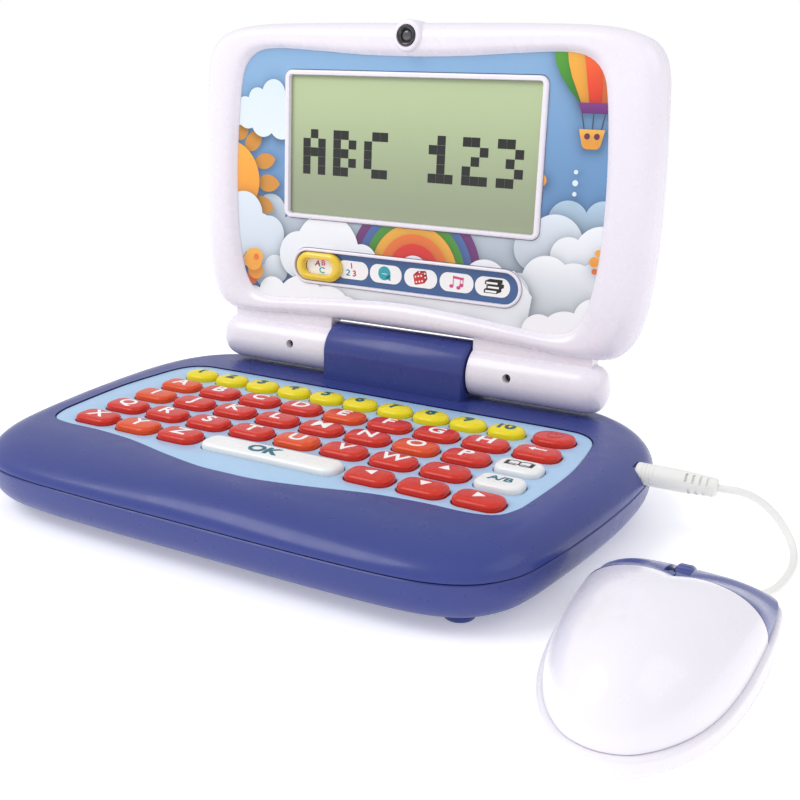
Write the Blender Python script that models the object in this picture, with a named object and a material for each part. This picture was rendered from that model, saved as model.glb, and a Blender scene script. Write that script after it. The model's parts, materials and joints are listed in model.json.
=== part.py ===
"""Toy laptop computer with a wired mouse.

All driving dimensions are in millimetres, in the laptop's own frame: X to the user's right, Y from the
user towards the lid, Z up, the desk at Z = 0 and X = 0 on the laptop's plane of symmetry. Meshes are
written in metres. One empty shifts the whole model, so that its origin lies on the desk under the middle
of the laptop and the mouse together.
"""
import math

import bmesh
import bpy
from mathutils import Vector

MM = 0.001

# ---------------------------------------------------------------- driving dimensions, millimetres
GAP = 0.3                      # clearance where two pieces touch
LOOP_POINTS = 50               # points round each shell's outline

# base: right half of each outline, from the back centre round to the front centre
BASE_OUTLINE = [(0, 82.5), (40, 82), (70, 79.5), (90, 74.5), (104, 66), (113.5, 53), (118, 36),
                (118.6, 15), (117, -8), (114.3, -30), (111, -50), (107, -63), (99, -73), (87, -79),
                (70, -81.6), (40, -82.5), (0, -82.5)]
DECK_OUTLINE = [(0, 75), (40, 74.8), (70, 72.5), (86, 67), (96, 58), (101, 45), (102.6, 30),
                (102.8, 10), (102.4, -8), (101.2, -22), (99.8, -34), (97.6, -43.2), (92, -50.0),
                (81, -52.2), (55, -53.6), (30, -58.5), (12, -62.4), (0, -62.8)]
PANEL_OUTLINE = [(0, 42.5), (40, 42.5), (80, 42.5), (90, 41), (95.6, 35), (97.8, 25), (99.5, 5),
                 (99.3, -8), (98.6, -18), (97.6, -29), (96.2, -38.4), (92.2, -45.8), (83.5, -48.4),
                 (68, -48.6), (50, -50.6), (30, -55.7), (12, -59.3), (0, -59.6)]
SEAM_Z = 18.5
DECK_Z = 28.9
PANEL_TOP = 28.5
PANEL_THICK = 2.0
LEDGE_Z = PANEL_TOP - PANEL_THICK - GAP
LEDGE_WIDTH = 0.7
LEDGE_THICK = 2.0
WALL = 2.4
BASE_BOTTOM_Z = 3.6
FLOOR_TOP_Z = 5.9

FOOT_PLACES = [(88, -61), (-88, -61), (90, 58), (-90, 58)]
FOOT_RADIUS = 5.5
POST_PLACES = [(75, -30), (-75, -30), (75, 28), (-75, 28), (0, -45), (0, 34)]
POST_RADIUS = 3.0
DOOR_CENTRE = (-32, 2)
DOOR_SIZE = (62, 52)

# keys
KEY_PITCH_X = 20.0
KEY_PITCH_Y = 16.55
KEY_FIRST = (-76.5, 10.4)
KEY_SIZE = (17.0, 11.2)
KEY_CORNER = 4.2
KEY_FLANGE = 0.55
KEY_FLANGE_BOTTOM = 24.6
KEY_SHOULDER_Z = 30.0
KEY_TOP_Z = 31.1
KEY_TOP_INSET = 1.5
KEY_HOLE_GAP = 0.45
KEY_STEPS = 1                  # straight pieces round each corner of a key
KEY_ROWS = ["ABCDEFGH<", "IJKLMNOPb", "QRSTUVW^l", "XYZ"]
KEY_NAMES = {"<": "back_arrow", "b": "book", "^": "up_arrow", "l": "language"}
BAR_CENTRE = (3.6, KEY_FIRST[1] - 3 * KEY_PITCH_Y)
BAR_SIZE = (56.5, 11.2)
ARROW_KEYS = [("left_arrow", 6), ("down_arrow", 7), ("right_arrow", 8)]
POWER_CENTRE = (83.2, 28.0)
POWER_SIZE = (16.0, 12.6)
NUMBER_PITCH = 15.93
NUMBER_FIRST = (-78.65, 26.8)
NUMBER_SIZE = (14.4, 11.4)
NUMBER_TOP_Z = 31.8
NUMBER_CORNER = 5.4
NUMBER_COUNT = 10
NUMBER_HOLE_GAP = 0.3
MEMBRANE_Z = (20.9, 22.7)
BOARD_Z = (19.0, 20.6)

# hinge
HINGE_Y = 64.8
HINGE_Z = 39.8
LID_LEAN_DEG = 2.2
BARREL_RADIUS = 11.2
BARREL_HALF = 33.1
KNUCKLE_RADIUS = 10.2
KNUCKLE_INNER = 33.8
KNUCKLE_OUTER = 91.0
PIN_RADIUS = 2.0
PIN_BORE = 2.4
PIN_HALF = 60.0
SCREW_HOLE_RADIUS = 1.7
SCREW_HOLE_X = 52.0

# lid, in its own frame: x across, v up from the hinge axis, n out of the screen
LID_OUTLINE = [(0, 136.7), (40, 136.7), (74, 136), (90, 133.4), (98, 128.5), (101.6, 120),
               (103, 105), (104.2, 82), (104.4, 60), (103.6, 42), (101.6, 28), (97.4, 17.5),
               (90, 12.2), (76, 11.2), (55, 12.4), (30, 13), (0, 13)]
ART_OUTLINE = [(0, 123.7), (22, 124.1), (44, 125.4), (64, 126.2), (74, 124.4), (80, 118.5),
               (82.4, 108), (84, 90), (84.6, 72), (84.2, 54), (82.6, 40), (80, 29.5), (75.5, 23),
               (67, 20.4), (50, 21.4), (26, 23.4), (0, 24.6)]
RIM_PROFILE = [(0.0, -1.0), (0.09, 3.0), (0.28, 6.2), (0.58, 7.2), (0.84, 6.3), (1.0, 4.2)]
LID_SEAM_N = -4.0
LID_BACK_N = -15.2
ART_TOP_N = 3.7
ART_THICK = 1.4
SCREEN_V = 87.0
SCREEN_SIZE = (113.7, 57.4)
FRAME_SIZE = (118.5, 61.6)
FRAME_N = (0.3, 4.9)
SCREEN_N = (-0.7, 3.0)
TRACK_CENTRE = (-0.6, 36.0)
TRACK_SIZE = (108.4, 15.4)
TRACK_WALL = 1.3
TRACK_N = (0.6, 4.6)
TRACK_FLOOR_N = 2.9
SLIDER_SIZE = (22.6, 12.2)
SLIDER_N = (3.2, 6.0)
SLIDER_FIRST_X = -41.0
LENS_V = 132.4
LENS_RADIUS = 4.0
LENS_N = (1.8, 6.6)

# mouse, in its own frame: a across, b forward from its middle, z up
MOUSE_CENTRE = (148.5, -68.0)
MOUSE_OUTLINE = [(0, 48.8), (14, 48.4), (23.5, 46.8), (27.8, 42.5), (29.1, 32), (29.3, 20), (28.8, 8),
                 (27.9, -3), (26.2, -14), (23.6, -24), (19.8, -33), (14.8, -40.6), (8.4, -46.4), (0, -48.6)]
MOUSE_POINTS = 36
MOUSE_CREASE_Z = (6.4, 10.2)
MOUSE_SPINE = (-16.0, 20.0)
MOUSE_TOP_Z = 29.5
MOUSE_ARCH = 0.0092
MOUSE_WALL = 2.0
BUTTON_EDGE_B = 20.0
BUTTON_LENGTH = 24.7
BUTTON_TRAVEL = 1.1
DOME_INSET = 1.8
WHEEL_PLACE = (34.0, 12.7)
WHEEL_RADIUS = 7.8
WHEEL_WIDTH = 6.0
WHEEL_SLOT = 7.6

# mouse socket, plug and cord
PLUG_Y = 28.0
PLUG_Z = 22.8
PLUG_FACE_X = 114.9
PLUG_END_X = 143.6
PLUG_RADIUS = 3.95
CORD_RADIUS = 1.4
CORD_ROUTE = [(143.9, 28.0, 22.8), (147.2, 28.9, 22.6), (150.6, 30.8, 21.9), (154.0, 33.0, 20.4),
              (157.4, 35.2, 18.0), (160.8, 37.0, 14.8), (164.2, 37.8, 11.0), (167.3, 37.0, 7.2),
              (169.7, 34.0, 4.2), (171.2, 28.6, 2.4), (171.7, 21.0, 1.7), (171.0, 11.5, 1.6),
              (169.3, 3.0, 1.6), (166.0, -3.4, 1.7), (161.2, -7.0, 2.1), (156.0, -8.6, 3.0),
              (151.8, -10.6, 4.4), (149.2, -13.8, 6.0), (148.5, -17.6, 7.0)]
CORD_POINTS = 60
MOUSE_CORD_Z = 7.0

# the origin lies under the middle of the laptop and mouse together
BASE_HALF_WIDTH = 118.65
MOUSE_HALF_WIDTH = 29.3
MOUSE_BACK = 48.6
LID_REAR_Y = 84.7
ORIGIN_X = (MOUSE_CENTRE[0] + MOUSE_HALF_WIDTH - BASE_HALF_WIDTH) / 2
ORIGIN_Y = (LID_REAR_Y + MOUSE_CENTRE[1] - MOUSE_BACK) / 2


# ---------------------------------------------------------------- scene, materials and objects
def clear_scene():
    for obj in list(bpy.data.objects):
        bpy.data.objects.remove(obj, do_unlink=True)


def material(name, colour, roughness=0.35, metallic=0.0):
    found = bpy.data.materials.get(name)
    if found:
        return found
    made = bpy.data.materials.new(name)
    made.use_nodes = True
    shader = made.node_tree.nodes["Principled BSDF"]
    shader.inputs["Base Color"].default_value = (*colour, 1)
    shader.inputs["Roughness"].default_value = roughness
    shader.inputs["Metallic"].default_value = metallic
    made.diffuse_color = (*colour, 1)
    return made


def empty(name, place=(0, 0, 0), parent=None, turn_x_deg=0.0):
    made = bpy.data.objects.new(name, None)
    made.empty_display_size = 0.01
    made.location = Vector(place) * MM
    made.rotation_euler = (math.radians(turn_x_deg), 0, 0)
    made.parent = parent
    bpy.context.scene.collection.objects.link(made)
    return made


def to_object(name, mesh_data, parent, surface, place=(0, 0, 0), smooth=False):
    """Turn a bmesh into a named object, facing out, with its material."""
    bmesh.ops.recalc_face_normals(mesh_data, faces=mesh_data.faces)
    mesh = bpy.data.meshes.new(name)
    mesh_data.to_mesh(mesh)
    mesh_data.free()
    if smooth:
        mesh.shade_smooth()
        mesh.set_sharp_from_angle(angle=math.radians(35))
    mesh.materials.append(surface)
    made = bpy.data.objects.new(name, mesh)
    made.location = Vector(place) * MM
    made.parent = parent
    bpy.context.scene.collection.objects.link(made)
    return made


def shape_tool(mesh_data, parent, name="cutter"):
    """A body that only shapes another object."""
    made = to_object(name, mesh_data, parent, material("tool", (0.5, 0.5, 0.5)))
    made.hide_render = True
    made.display_type = "WIRE"
    return made


def combine(target, tool, operation="DIFFERENCE"):
    modifier = target.modifiers.new(f"{operation.lower()}_{tool.name}", "BOOLEAN")
    modifier.operation = operation
    modifier.object = tool
    modifier.solver = "EXACT"


# ---------------------------------------------------------------- outlines
def curve_point(before, start, end, after, t):
    """A point on the smooth curve from start to end."""
    square, cube = t * t, t * t * t
    return tuple(
        0.5 * (2 * b + (c - a) * t + (2 * a - 5 * b + 4 * c - d) * square + (3 * b - a - 3 * c + d) * cube)
        for a, b, c, d in zip(before, start, end, after)
    )


def even_points(dense, count, closed):
    """Points at equal spacing along a dense polyline."""
    line = [Vector(point) for point in dense]
    if closed:
        line.append(line[0])
    lengths = [0.0]
    for first, second in zip(line, line[1:]):
        lengths.append(lengths[-1] + (second - first).length)
    steps = count if closed else count - 1
    result = []
    segment = 0
    for index in range(count):
        wanted = lengths[-1] * index / steps
        while segment < len(line) - 2 and lengths[segment + 1] < wanted:
            segment += 1
        span = max(lengths[segment + 1] - lengths[segment], 1e-9)
        result.append(tuple(line[segment].lerp(line[segment + 1], (wanted - lengths[segment]) / span)))
    return result


def mirrored_outline(half, count=LOOP_POINTS):
    """The closed smooth outline whose right half is given."""
    points = list(half) + [(-x, y) for x, y in reversed(half[1:-1])]
    total = len(points)
    dense = []
    for index in range(total):
        around = [points[(index + step) % total] for step in (-1, 0, 1, 2)]
        dense += [curve_point(*around, step / 8) for step in range(8)]
    return even_points(dense, count, closed=True)


def offset_loop(points, inset):
    """The outline moved inwards by inset along its normals."""
    total = len(points)
    moved = []
    for index, (x, y) in enumerate(points):
        before, after = points[index - 1], points[(index + 1) % total]
        tangent = Vector((after[0] - before[0], after[1] - before[1])).normalized()
        moved.append((x + tangent.y * inset, y - tangent.x * inset))
    return moved


def blend_loops(first, second, share):
    return [(a[0] + (b[0] - a[0]) * share, a[1] + (b[1] - a[1]) * share) for a, b in zip(first, second)]


def rounded_rectangle(width, height, corner, centre=(0, 0), steps=2):
    points = []
    for quarter, (sign_x, sign_y) in enumerate([(1, 1), (-1, 1), (-1, -1), (1, -1)]):
        for step in range(steps + 1):
            angle = math.radians(90 * quarter + 90 * step / steps)
            points.append((centre[0] + sign_x * (width / 2 - corner) + corner * math.cos(angle),
                           centre[1] + sign_y * (height / 2 - corner) + corner * math.sin(angle)))
    return points


def at_height(loop, z):
    return [(x, y, z) for x, y in loop]


def on_lid(loop, n):
    """Lid outline points (x, v) at height n in front of the hinge axis, in the lid's own axes."""
    return [(x, -n, v) for x, v in loop]


# ---------------------------------------------------------------- solids
def loft(loops, ring=False, into=None):
    """Join loops of equal length. A ring joins the last loop to the first; otherwise the ends are capped."""
    mesh_data = into or bmesh.new()
    rows = [[mesh_data.verts.new(Vector(point) * MM) for point in loop] for loop in loops]
    pairs = list(zip(rows, rows[1:]))
    if ring:
        pairs.append((rows[-1], rows[0]))
    total = len(rows[0])
    for lower, upper in pairs:
        for index in range(total):
            after = (index + 1) % total
            mesh_data.faces.new([lower[index], lower[after], upper[after], upper[index]])
    if not ring:
        mesh_data.faces.new(list(reversed(rows[0])))
        mesh_data.faces.new(rows[-1])
    return mesh_data


def prism(loop, low, high, into=None):
    return loft([at_height(loop, low), at_height(loop, high)], into=into)


def box(low, high, into=None):
    loop = [(low[0], low[1]), (high[0], low[1]), (high[0], high[1]), (low[0], high[1])]
    return prism(loop, low[2], high[2], into=into)


def circle(radius, centre=(0, 0), sides=16):
    turns = [2 * math.pi * (index + 0.5) / sides for index in range(sides)]
    return [(centre[0] + radius * math.cos(turn), centre[1] + radius * math.sin(turn)) for turn in turns]


def turned_x(profile, centre_y, centre_z, sides=16, into=None):
    """A body turned about an axis along X from (x, radius) pairs."""
    loops = []
    for x, radius in profile:
        loops.append([(x, y, z) for y, z in circle(radius, (centre_y, centre_z), sides)])
    return loft(loops, into=into)


# ---------------------------------------------------------------- base
def base_surface(share_deg, base, deck, wall=0.0):
    """The loop at an angle round the base's edge: 0 at the seam, 90 on the deck."""
    turn = math.radians(share_deg)
    loop = offset_loop(blend_loops(base, deck, 1 - math.cos(turn)), wall * math.cos(turn))
    return at_height(loop, SEAM_Z + GAP / 2 + (DECK_Z - SEAM_Z - GAP / 2 - wall) * math.sin(turn))


def build_base_top(parent):
    base = mirrored_outline(BASE_OUTLINE)
    deck = mirrored_outline(DECK_OUTLINE)
    panel = mirrored_outline(PANEL_OUTLINE)
    recess = offset_loop(panel, -GAP)
    opening = offset_loop(panel, LEDGE_WIDTH)
    loops = [base_surface(angle, base, deck) for angle in (0, 22, 45, 68, 90)]
    loops += [at_height(recess, DECK_Z), at_height(recess, LEDGE_Z)]
    loops += [at_height(opening, LEDGE_Z), at_height(opening, LEDGE_Z - LEDGE_THICK)]
    loops += [at_height(offset_loop(deck, 1.5), DECK_Z - WALL - 0.5)]
    loops += [base_surface(angle, base, deck, WALL) for angle in (45, 0)]
    blue = material("base_blue", (0.07, 0.09, 0.33), 0.3)
    shell = to_object("base_top_shell", loft(loops, ring=True), parent, blue, smooth=True)
    combine(shell, shape_tool(hinge_barrel(), parent, "barrel_body"), "UNION")
    combine(shell, shape_tool(socket_boss(), parent, "socket_boss"), "UNION")
    pin_hole = turned_x([(-BARREL_HALF - 2, PIN_BORE), (BARREL_HALF + 2, PIN_BORE)], HINGE_Y, HINGE_Z)
    combine(shell, shape_tool(pin_hole, parent, "pin_hole"))
    mouth = PLUG_RADIUS + 0.4
    stepped = [(96, 3.2), (111, 3.2), (111.01, 2.2), (114.6, 2.2), (114.61, mouth), (125, mouth)]
    combine(shell, shape_tool(turned_x(stepped, PLUG_Y, PLUG_Z), parent, "socket_hole"))
    return shell


def hinge_barrel():
    """The raised block between the lid's two hinge rolls: upright walls under a half-round top."""
    side = [(HINGE_Y - BARREL_RADIUS, 27.0)]
    for step in range(13):
        turn = math.pi - math.pi * step / 12
        side.append((HINGE_Y + BARREL_RADIUS * math.cos(turn), HINGE_Z + BARREL_RADIUS * math.sin(turn)))
    side.append((HINGE_Y + BARREL_RADIUS, 27.0))
    return loft([[(x, y, z) for y, z in side] for x in (-BARREL_HALF, BARREL_HALF)])


def socket_boss():
    """Solid material inside the right wall that holds the mouse socket."""
    side = [(18.9, 98.7), (18.9, 115.4), (24.0, 115.4), (24.0, 111.2), (26.7, 111.2), (26.7, 98.7)]
    return loft([[(x, y, z) for z, x in side] for y in (PLUG_Y - 5.5, PLUG_Y + 5.5)])


def build_base_bottom(parent):
    base = mirrored_outline(BASE_OUTLINE)
    rows = [(14, BASE_BOTTOM_Z), (8.5, 4.1), (3.8, 6.4), (1.2, 10.2), (0.2, 14.6), (0, SEAM_Z - GAP / 2),
            (WALL, SEAM_Z - GAP / 2), (3.6, 10.4), (8.2, 7.0), (14, FLOOR_TOP_Z)]
    loops = [at_height(offset_loop(base, inset), z) for inset, z in rows]
    blue = material("base_blue", (0.07, 0.09, 0.33), 0.3)
    shell = to_object("base_bottom_shell", loft(loops), parent, blue, smooth=True)
    raised = bmesh.new()
    for place in FOOT_PLACES:
        loft([at_height(circle(FOOT_RADIUS - 0.8, place), 0), at_height(circle(FOOT_RADIUS, place), 1.0),
              at_height(circle(FOOT_RADIUS + 0.4, place), 5.0)], into=raised)
    for place in POST_PLACES:
        prism(circle(POST_RADIUS, place, sides=10), 5.0, BOARD_Z[0] - GAP, into=raised)
    combine(shell, shape_tool(raised, parent, "feet_and_posts"), "UNION")
    opening = rounded_rectangle(DOOR_SIZE[0] + 2 * GAP, DOOR_SIZE[1] + 2 * GAP, 4, DOOR_CENTRE)
    combine(shell, shape_tool(prism(opening, 1, 9), parent, "door_opening"))
    return shell


def build_battery_door(parent):
    """The screwed cover of the battery bay: a plate, and a lip that stops it on the floor's inner side."""
    outer = rounded_rectangle(*DOOR_SIZE, 4 - GAP, DOOR_CENTRE)
    lip = rounded_rectangle(DOOR_SIZE[0] + 6, DOOR_SIZE[1] + 6, 5, DOOR_CENTRE)
    rows = [at_height(outer, BASE_BOTTOM_Z + 0.1), at_height(outer, FLOOR_TOP_Z + GAP),
            at_height(lip, FLOOR_TOP_Z + GAP), at_height(lip, FLOOR_TOP_Z + GAP + 1.4)]
    return to_object("battery_door", loft(rows), parent, material("door_blue", (0.06, 0.08, 0.3), 0.45))


def key_places():
    """Every separate key: its name, centre and size."""
    places = []
    for row, letters in enumerate(KEY_ROWS):
        for column, letter in enumerate(letters):
            name = KEY_NAMES.get(letter, letter.lower())
            centre = (KEY_FIRST[0] + column * KEY_PITCH_X, KEY_FIRST[1] - row * KEY_PITCH_Y)
            places.append((f"key_{name}", centre, KEY_SIZE, KEY_CORNER))
    for name, column in ARROW_KEYS:
        centre = (KEY_FIRST[0] + column * KEY_PITCH_X, KEY_FIRST[1] - 3 * KEY_PITCH_Y)
        places.append((f"key_{name}", centre, KEY_SIZE, KEY_CORNER))
    places.append(("key_ok", BAR_CENTRE, BAR_SIZE, KEY_CORNER))
    places.append(("key_power", POWER_CENTRE, POWER_SIZE, POWER_SIZE[1] / 2 - 0.4))
    return places


def number_places():
    return [(NUMBER_FIRST[0] + index * NUMBER_PITCH, NUMBER_FIRST[1]) for index in range(NUMBER_COUNT)]


def build_keyboard_panel(parent):
    panel = mirrored_outline(PANEL_OUTLINE)
    plate = prism(panel, PANEL_TOP - PANEL_THICK, PANEL_TOP)
    made = to_object("keyboard_panel", plate, parent, material("panel_blue", (0.38, 0.62, 0.86), 0.4))
    holes = bmesh.new()
    for _, centre, size, corner in key_places():
        width, depth = (side + 2 * KEY_HOLE_GAP for side in size)
        loop = rounded_rectangle(width, depth, corner + KEY_HOLE_GAP, centre, KEY_STEPS)
        prism(loop, PANEL_TOP - PANEL_THICK - 1, PANEL_TOP + 1, into=holes)
    for centre in number_places():
        width, depth = (side + 2 * NUMBER_HOLE_GAP for side in NUMBER_SIZE)
        loop = rounded_rectangle(width, depth, NUMBER_CORNER + NUMBER_HOLE_GAP, centre, KEY_STEPS)
        prism(loop, PANEL_TOP - PANEL_THICK - 1, PANEL_TOP + 1, into=holes)
    combine(made, shape_tool(holes, parent, "key_holes"))
    return made


def build_key(parent, name, centre, size, corner):
    def ring(inset, z):
        width, depth = (side - 2 * inset for side in size)
        return at_height(rounded_rectangle(width, depth, max(corner - inset, 0.6), steps=KEY_STEPS), z)

    rows = [ring(-KEY_FLANGE, KEY_FLANGE_BOTTOM), ring(-KEY_FLANGE, LEDGE_Z), ring(0, LEDGE_Z),
            ring(0, KEY_SHOULDER_Z), ring(KEY_TOP_INSET, KEY_TOP_Z)]
    white = name in ("key_ok", "key_book", "key_language")
    colour = (0.86, 0.86, 0.82) if white else (0.72, 0.04, 0.02)
    kind = "key_white" if white else "key_red"
    return to_object(name, loft(rows), parent, material(kind, colour, 0.25), place=(*centre, 0), smooth=True)


def build_number_keys(parent):
    """Ten number keys moulded on one strip under the panel."""
    first, last = number_places()[0], number_places()[-1]
    low = (first[0] - 7, first[1] - 4.5, KEY_FLANGE_BOTTOM)
    high = (last[0] + 7, first[1] + 4.5, LEDGE_Z - 0.1)
    yellow = material("key_yellow", (0.9, 0.78, 0.02), 0.3)
    strip = to_object("key_number_strip", box(low, high), parent, yellow, smooth=True)
    caps = bmesh.new()
    for centre in number_places():
        rows = []
        for inset, z in ((0, KEY_FLANGE_BOTTOM + 0.6), (0, NUMBER_TOP_Z - 1.4), (1.6, NUMBER_TOP_Z)):
            width, depth = (side - 2 * inset for side in NUMBER_SIZE)
            loop = rounded_rectangle(width, depth, NUMBER_CORNER - inset, centre, KEY_STEPS)
            rows.append(at_height(loop, z))
        loft(rows, into=caps)
    combine(strip, shape_tool(caps, parent, "number_caps"), "UNION")
    return strip


def build_keyboard_insides(parent):
    panel = mirrored_outline(PANEL_OUTLINE, 24)
    membrane = prism(offset_loop(panel, 5), *MEMBRANE_Z)
    to_object("key_membrane", membrane, parent, material("membrane_grey", (0.35, 0.35, 0.36), 0.7))
    board = prism(offset_loop(panel, 8), *BOARD_Z)
    to_object("circuit_board", board, parent, material("board_green", (0.03, 0.2, 0.07), 0.45))
    speaker_rows = [at_height(circle(radius, (55, -12)), z) for radius, z in
                    ((14, 6.4), (14, 8.0), (9, 11.5), (9, 14.5))]
    to_object("loudspeaker", loft(speaker_rows), parent, material("speaker_black", (0.03, 0.03, 0.03), 0.6))


def build_hinge_pin(parent):
    pin = turned_x([(-PIN_HALF, PIN_RADIUS), (PIN_HALF, PIN_RADIUS)], HINGE_Y, HINGE_Z)
    to_object("hinge_pin", pin, parent, material("steel", (0.55, 0.55, 0.56), 0.25, 1.0), smooth=True)


# ---------------------------------------------------------------- lid
def lid_box(low, high, into=None):
    """A box from two (x, n, v) corners."""
    loop = [(low[0], low[2]), (high[0], low[2]), (high[0], high[2]), (low[0], high[2])]
    return loft([on_lid(loop, low[1]), on_lid(loop, high[1])], into=into)


def build_lid_front(parent):
    outline = mirrored_outline(LID_OUTLINE)
    art = mirrored_outline(ART_OUTLINE)
    recess = offset_loop(art, -GAP)
    ledge_n = ART_TOP_N - ART_THICK - GAP
    loops = [on_lid(offset_loop(outline, 0.3), LID_SEAM_N)]
    loops += [on_lid(blend_loops(outline, recess, share), n) for share, n in RIM_PROFILE]
    ledge = offset_loop(art, 3)
    loops += [on_lid(recess, ledge_n), on_lid(ledge, ledge_n), on_lid(ledge, ledge_n - 1.8)]
    loops += [on_lid(offset_loop(art, -1.5), ledge_n - 1.4), on_lid(blend_loops(outline, recess, 0.5), 4.6)]
    loops += [on_lid(offset_loop(outline, inset), n) for inset, n in ((WALL + 0.3, 1.0), (WALL, LID_SEAM_N))]
    white = material("lid_white", (0.85, 0.84, 0.88), 0.3)
    shell = to_object("lid_front_shell", loft(loops, ring=True), parent, white, smooth=True)
    rolls = bmesh.new()
    for side in (-1, 1):
        profile = [(KNUCKLE_INNER, KNUCKLE_RADIUS), (KNUCKLE_OUTER - 8, KNUCKLE_RADIUS),
                   (KNUCKLE_OUTER - 3.5, KNUCKLE_RADIUS * 0.88), (KNUCKLE_OUTER - 0.9, KNUCKLE_RADIUS * 0.62),
                   (KNUCKLE_OUTER, KNUCKLE_RADIUS * 0.3)]
        turned_x([(side * x, radius) for x, radius in profile], 0, 0, sides=20, into=rolls)
    combine(shell, shape_tool(rolls, parent, "hinge_rolls"), "UNION")
    webs = bmesh.new()
    for side in (-1, 1):
        ends = sorted((side * (KNUCKLE_INNER + 0.3), side * (KNUCKLE_OUTER - 6)))
        lid_box((ends[0], LID_SEAM_N + 0.4, 5.0), (ends[1], 4.2, 16.0), into=webs)
    combine(shell, shape_tool(webs, parent, "roll_webs"), "UNION")
    boss = loft([on_lid(circle(6.2, (0, LENS_V), 20), -3.0), on_lid(circle(6.0, (0, LENS_V), 20), 5.2),
                 on_lid(circle(5.2, (0, LENS_V), 20), 6.0)])
    combine(shell, shape_tool(boss, parent, "lens_boss"), "UNION")
    holes = loft([on_lid(circle(LENS_RADIUS + GAP, (0, LENS_V)), LENS_N[0] - GAP),
                  on_lid(circle(LENS_RADIUS + GAP, (0, LENS_V)), 10)])
    for side in (-1, 1):
        ends = sorted((side * (KNUCKLE_INNER - 2), side * (PIN_HALF + 1.5)))
        turned_x([(ends[0], PIN_BORE), (ends[1], PIN_BORE)], 0, 0, into=holes)
        screw_hole = circle(SCREW_HOLE_RADIUS, (side * SCREW_HOLE_X, 1.2), 10)
        loft([on_lid(screw_hole, 6), on_lid(screw_hole, 14)], into=holes)
    combine(shell, shape_tool(holes, parent, "lid_holes"))
    return shell


def build_lid_rear(parent):
    outline = mirrored_outline(LID_OUTLINE)
    seam = LID_SEAM_N - GAP
    rows = [(14, LID_BACK_N + 2.2), (8.4, -12.2), (4.8, -10.2), (WALL, seam), (0.3, seam), (0.4, seam - 4),
            (2.4, -12.0), (7, -14.4), (14, LID_BACK_N)]
    loops = [on_lid(offset_loop(outline, inset), n) for inset, n in rows]
    white = material("lid_white", (0.85, 0.84, 0.88), 0.3)
    shell = to_object("lid_rear_shell", loft(loops), parent, white, smooth=True)
    reach, radius = KNUCKLE_OUTER + 2, KNUCKLE_RADIUS + 0.5
    clearance = turned_x([(-reach, radius), (reach, radius)], 0, 0, 24)
    combine(shell, shape_tool(clearance, parent, "roll_clearance"))
    return shell


def build_screen(parent):
    art = mirrored_outline(ART_OUTLINE)
    plate = loft([on_lid(art, ART_TOP_N - ART_THICK), on_lid(art, ART_TOP_N)])
    panel = to_object("artwork_panel", plate, parent, material("art_blue", (0.2, 0.42, 0.72), 0.35))
    windows = bmesh.new()
    width, height = (side + 2 * GAP for side in FRAME_SIZE)
    frame_hole = rounded_rectangle(width, height, 3.8, (0, SCREEN_V))
    loft([on_lid(frame_hole, 0), on_lid(frame_hole, 8)], into=windows)
    width, height = (side + 2 * GAP for side in TRACK_SIZE)
    track_hole = rounded_rectangle(width, height, TRACK_SIZE[1] / 2, TRACK_CENTRE, 5)
    loft([on_lid(track_hole, 0), on_lid(track_hole, 8)], into=windows)
    combine(panel, shape_tool(windows, parent, "panel_windows"))

    outer = rounded_rectangle(*FRAME_SIZE, 3.5, (0, SCREEN_V))
    inner = rounded_rectangle(*SCREEN_SIZE, 1.2, (0, SCREEN_V))
    bevelled = rounded_rectangle(FRAME_SIZE[0] - 1.2, FRAME_SIZE[1] - 1.2, 2.9, (0, SCREEN_V))
    frame_loops = [on_lid(outer, FRAME_N[0]), on_lid(outer, FRAME_N[1] - 0.6), on_lid(bevelled, FRAME_N[1]),
                   on_lid(inner, FRAME_N[1]), on_lid(inner, FRAME_N[0])]
    white = material("lid_white", (0.85, 0.84, 0.88), 0.3)
    to_object("screen_frame", loft(frame_loops, ring=True), parent, white)
    glass = rounded_rectangle(SCREEN_SIZE[0] - 2 * GAP, SCREEN_SIZE[1] - 2 * GAP, 0.9, (0, SCREEN_V), 1)
    module = loft([on_lid(glass, SCREEN_N[0]), on_lid(glass, SCREEN_N[1])])
    to_object("lcd_screen", module, parent, material("lcd_green", (0.45, 0.52, 0.32), 0.2))


def build_slider(parent):
    def stadium(size, centre, steps=6):
        return rounded_rectangle(*size, size[1] / 2 - 0.01, centre, steps)

    outer = stadium(TRACK_SIZE, TRACK_CENTRE)
    inner = stadium([side - 2 * TRACK_WALL for side in TRACK_SIZE], TRACK_CENTRE)
    loops = [on_lid(outer, TRACK_N[0]), on_lid(outer, TRACK_N[1]), on_lid(inner, TRACK_N[1]),
             on_lid(inner, TRACK_FLOOR_N)]
    to_object("slider_track", loft(loops), parent, material("track_blue", (0.04, 0.12, 0.3), 0.35))
    window = (SLIDER_SIZE[0] - 7.0, SLIDER_SIZE[1] - 4.6)
    low, high = SLIDER_N
    rows = [(SLIDER_SIZE, low), (SLIDER_SIZE, high - 0.9), ((SLIDER_SIZE[0] - 2, SLIDER_SIZE[1] - 2), high),
            ((window[0] + 1.6, window[1] + 1.6), high), (window, high - 1.2), (window, low)]
    ring = loft([on_lid(stadium(size, (0, 0), 4), n) for size, n in rows], ring=True)
    yellow = material("slider_yellow", (0.85, 0.66, 0.02), 0.3)
    to_object("mode_slider", ring, parent, yellow, place=(SLIDER_FIRST_X, 0, TRACK_CENTRE[1]), smooth=True)
    lens = loft([on_lid(circle(LENS_RADIUS, (0, LENS_V)), n) for n in LENS_N])
    to_object("camera_lens", lens, parent, material("lens_black", (0.01, 0.01, 0.01), 0.15), smooth=True)


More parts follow.
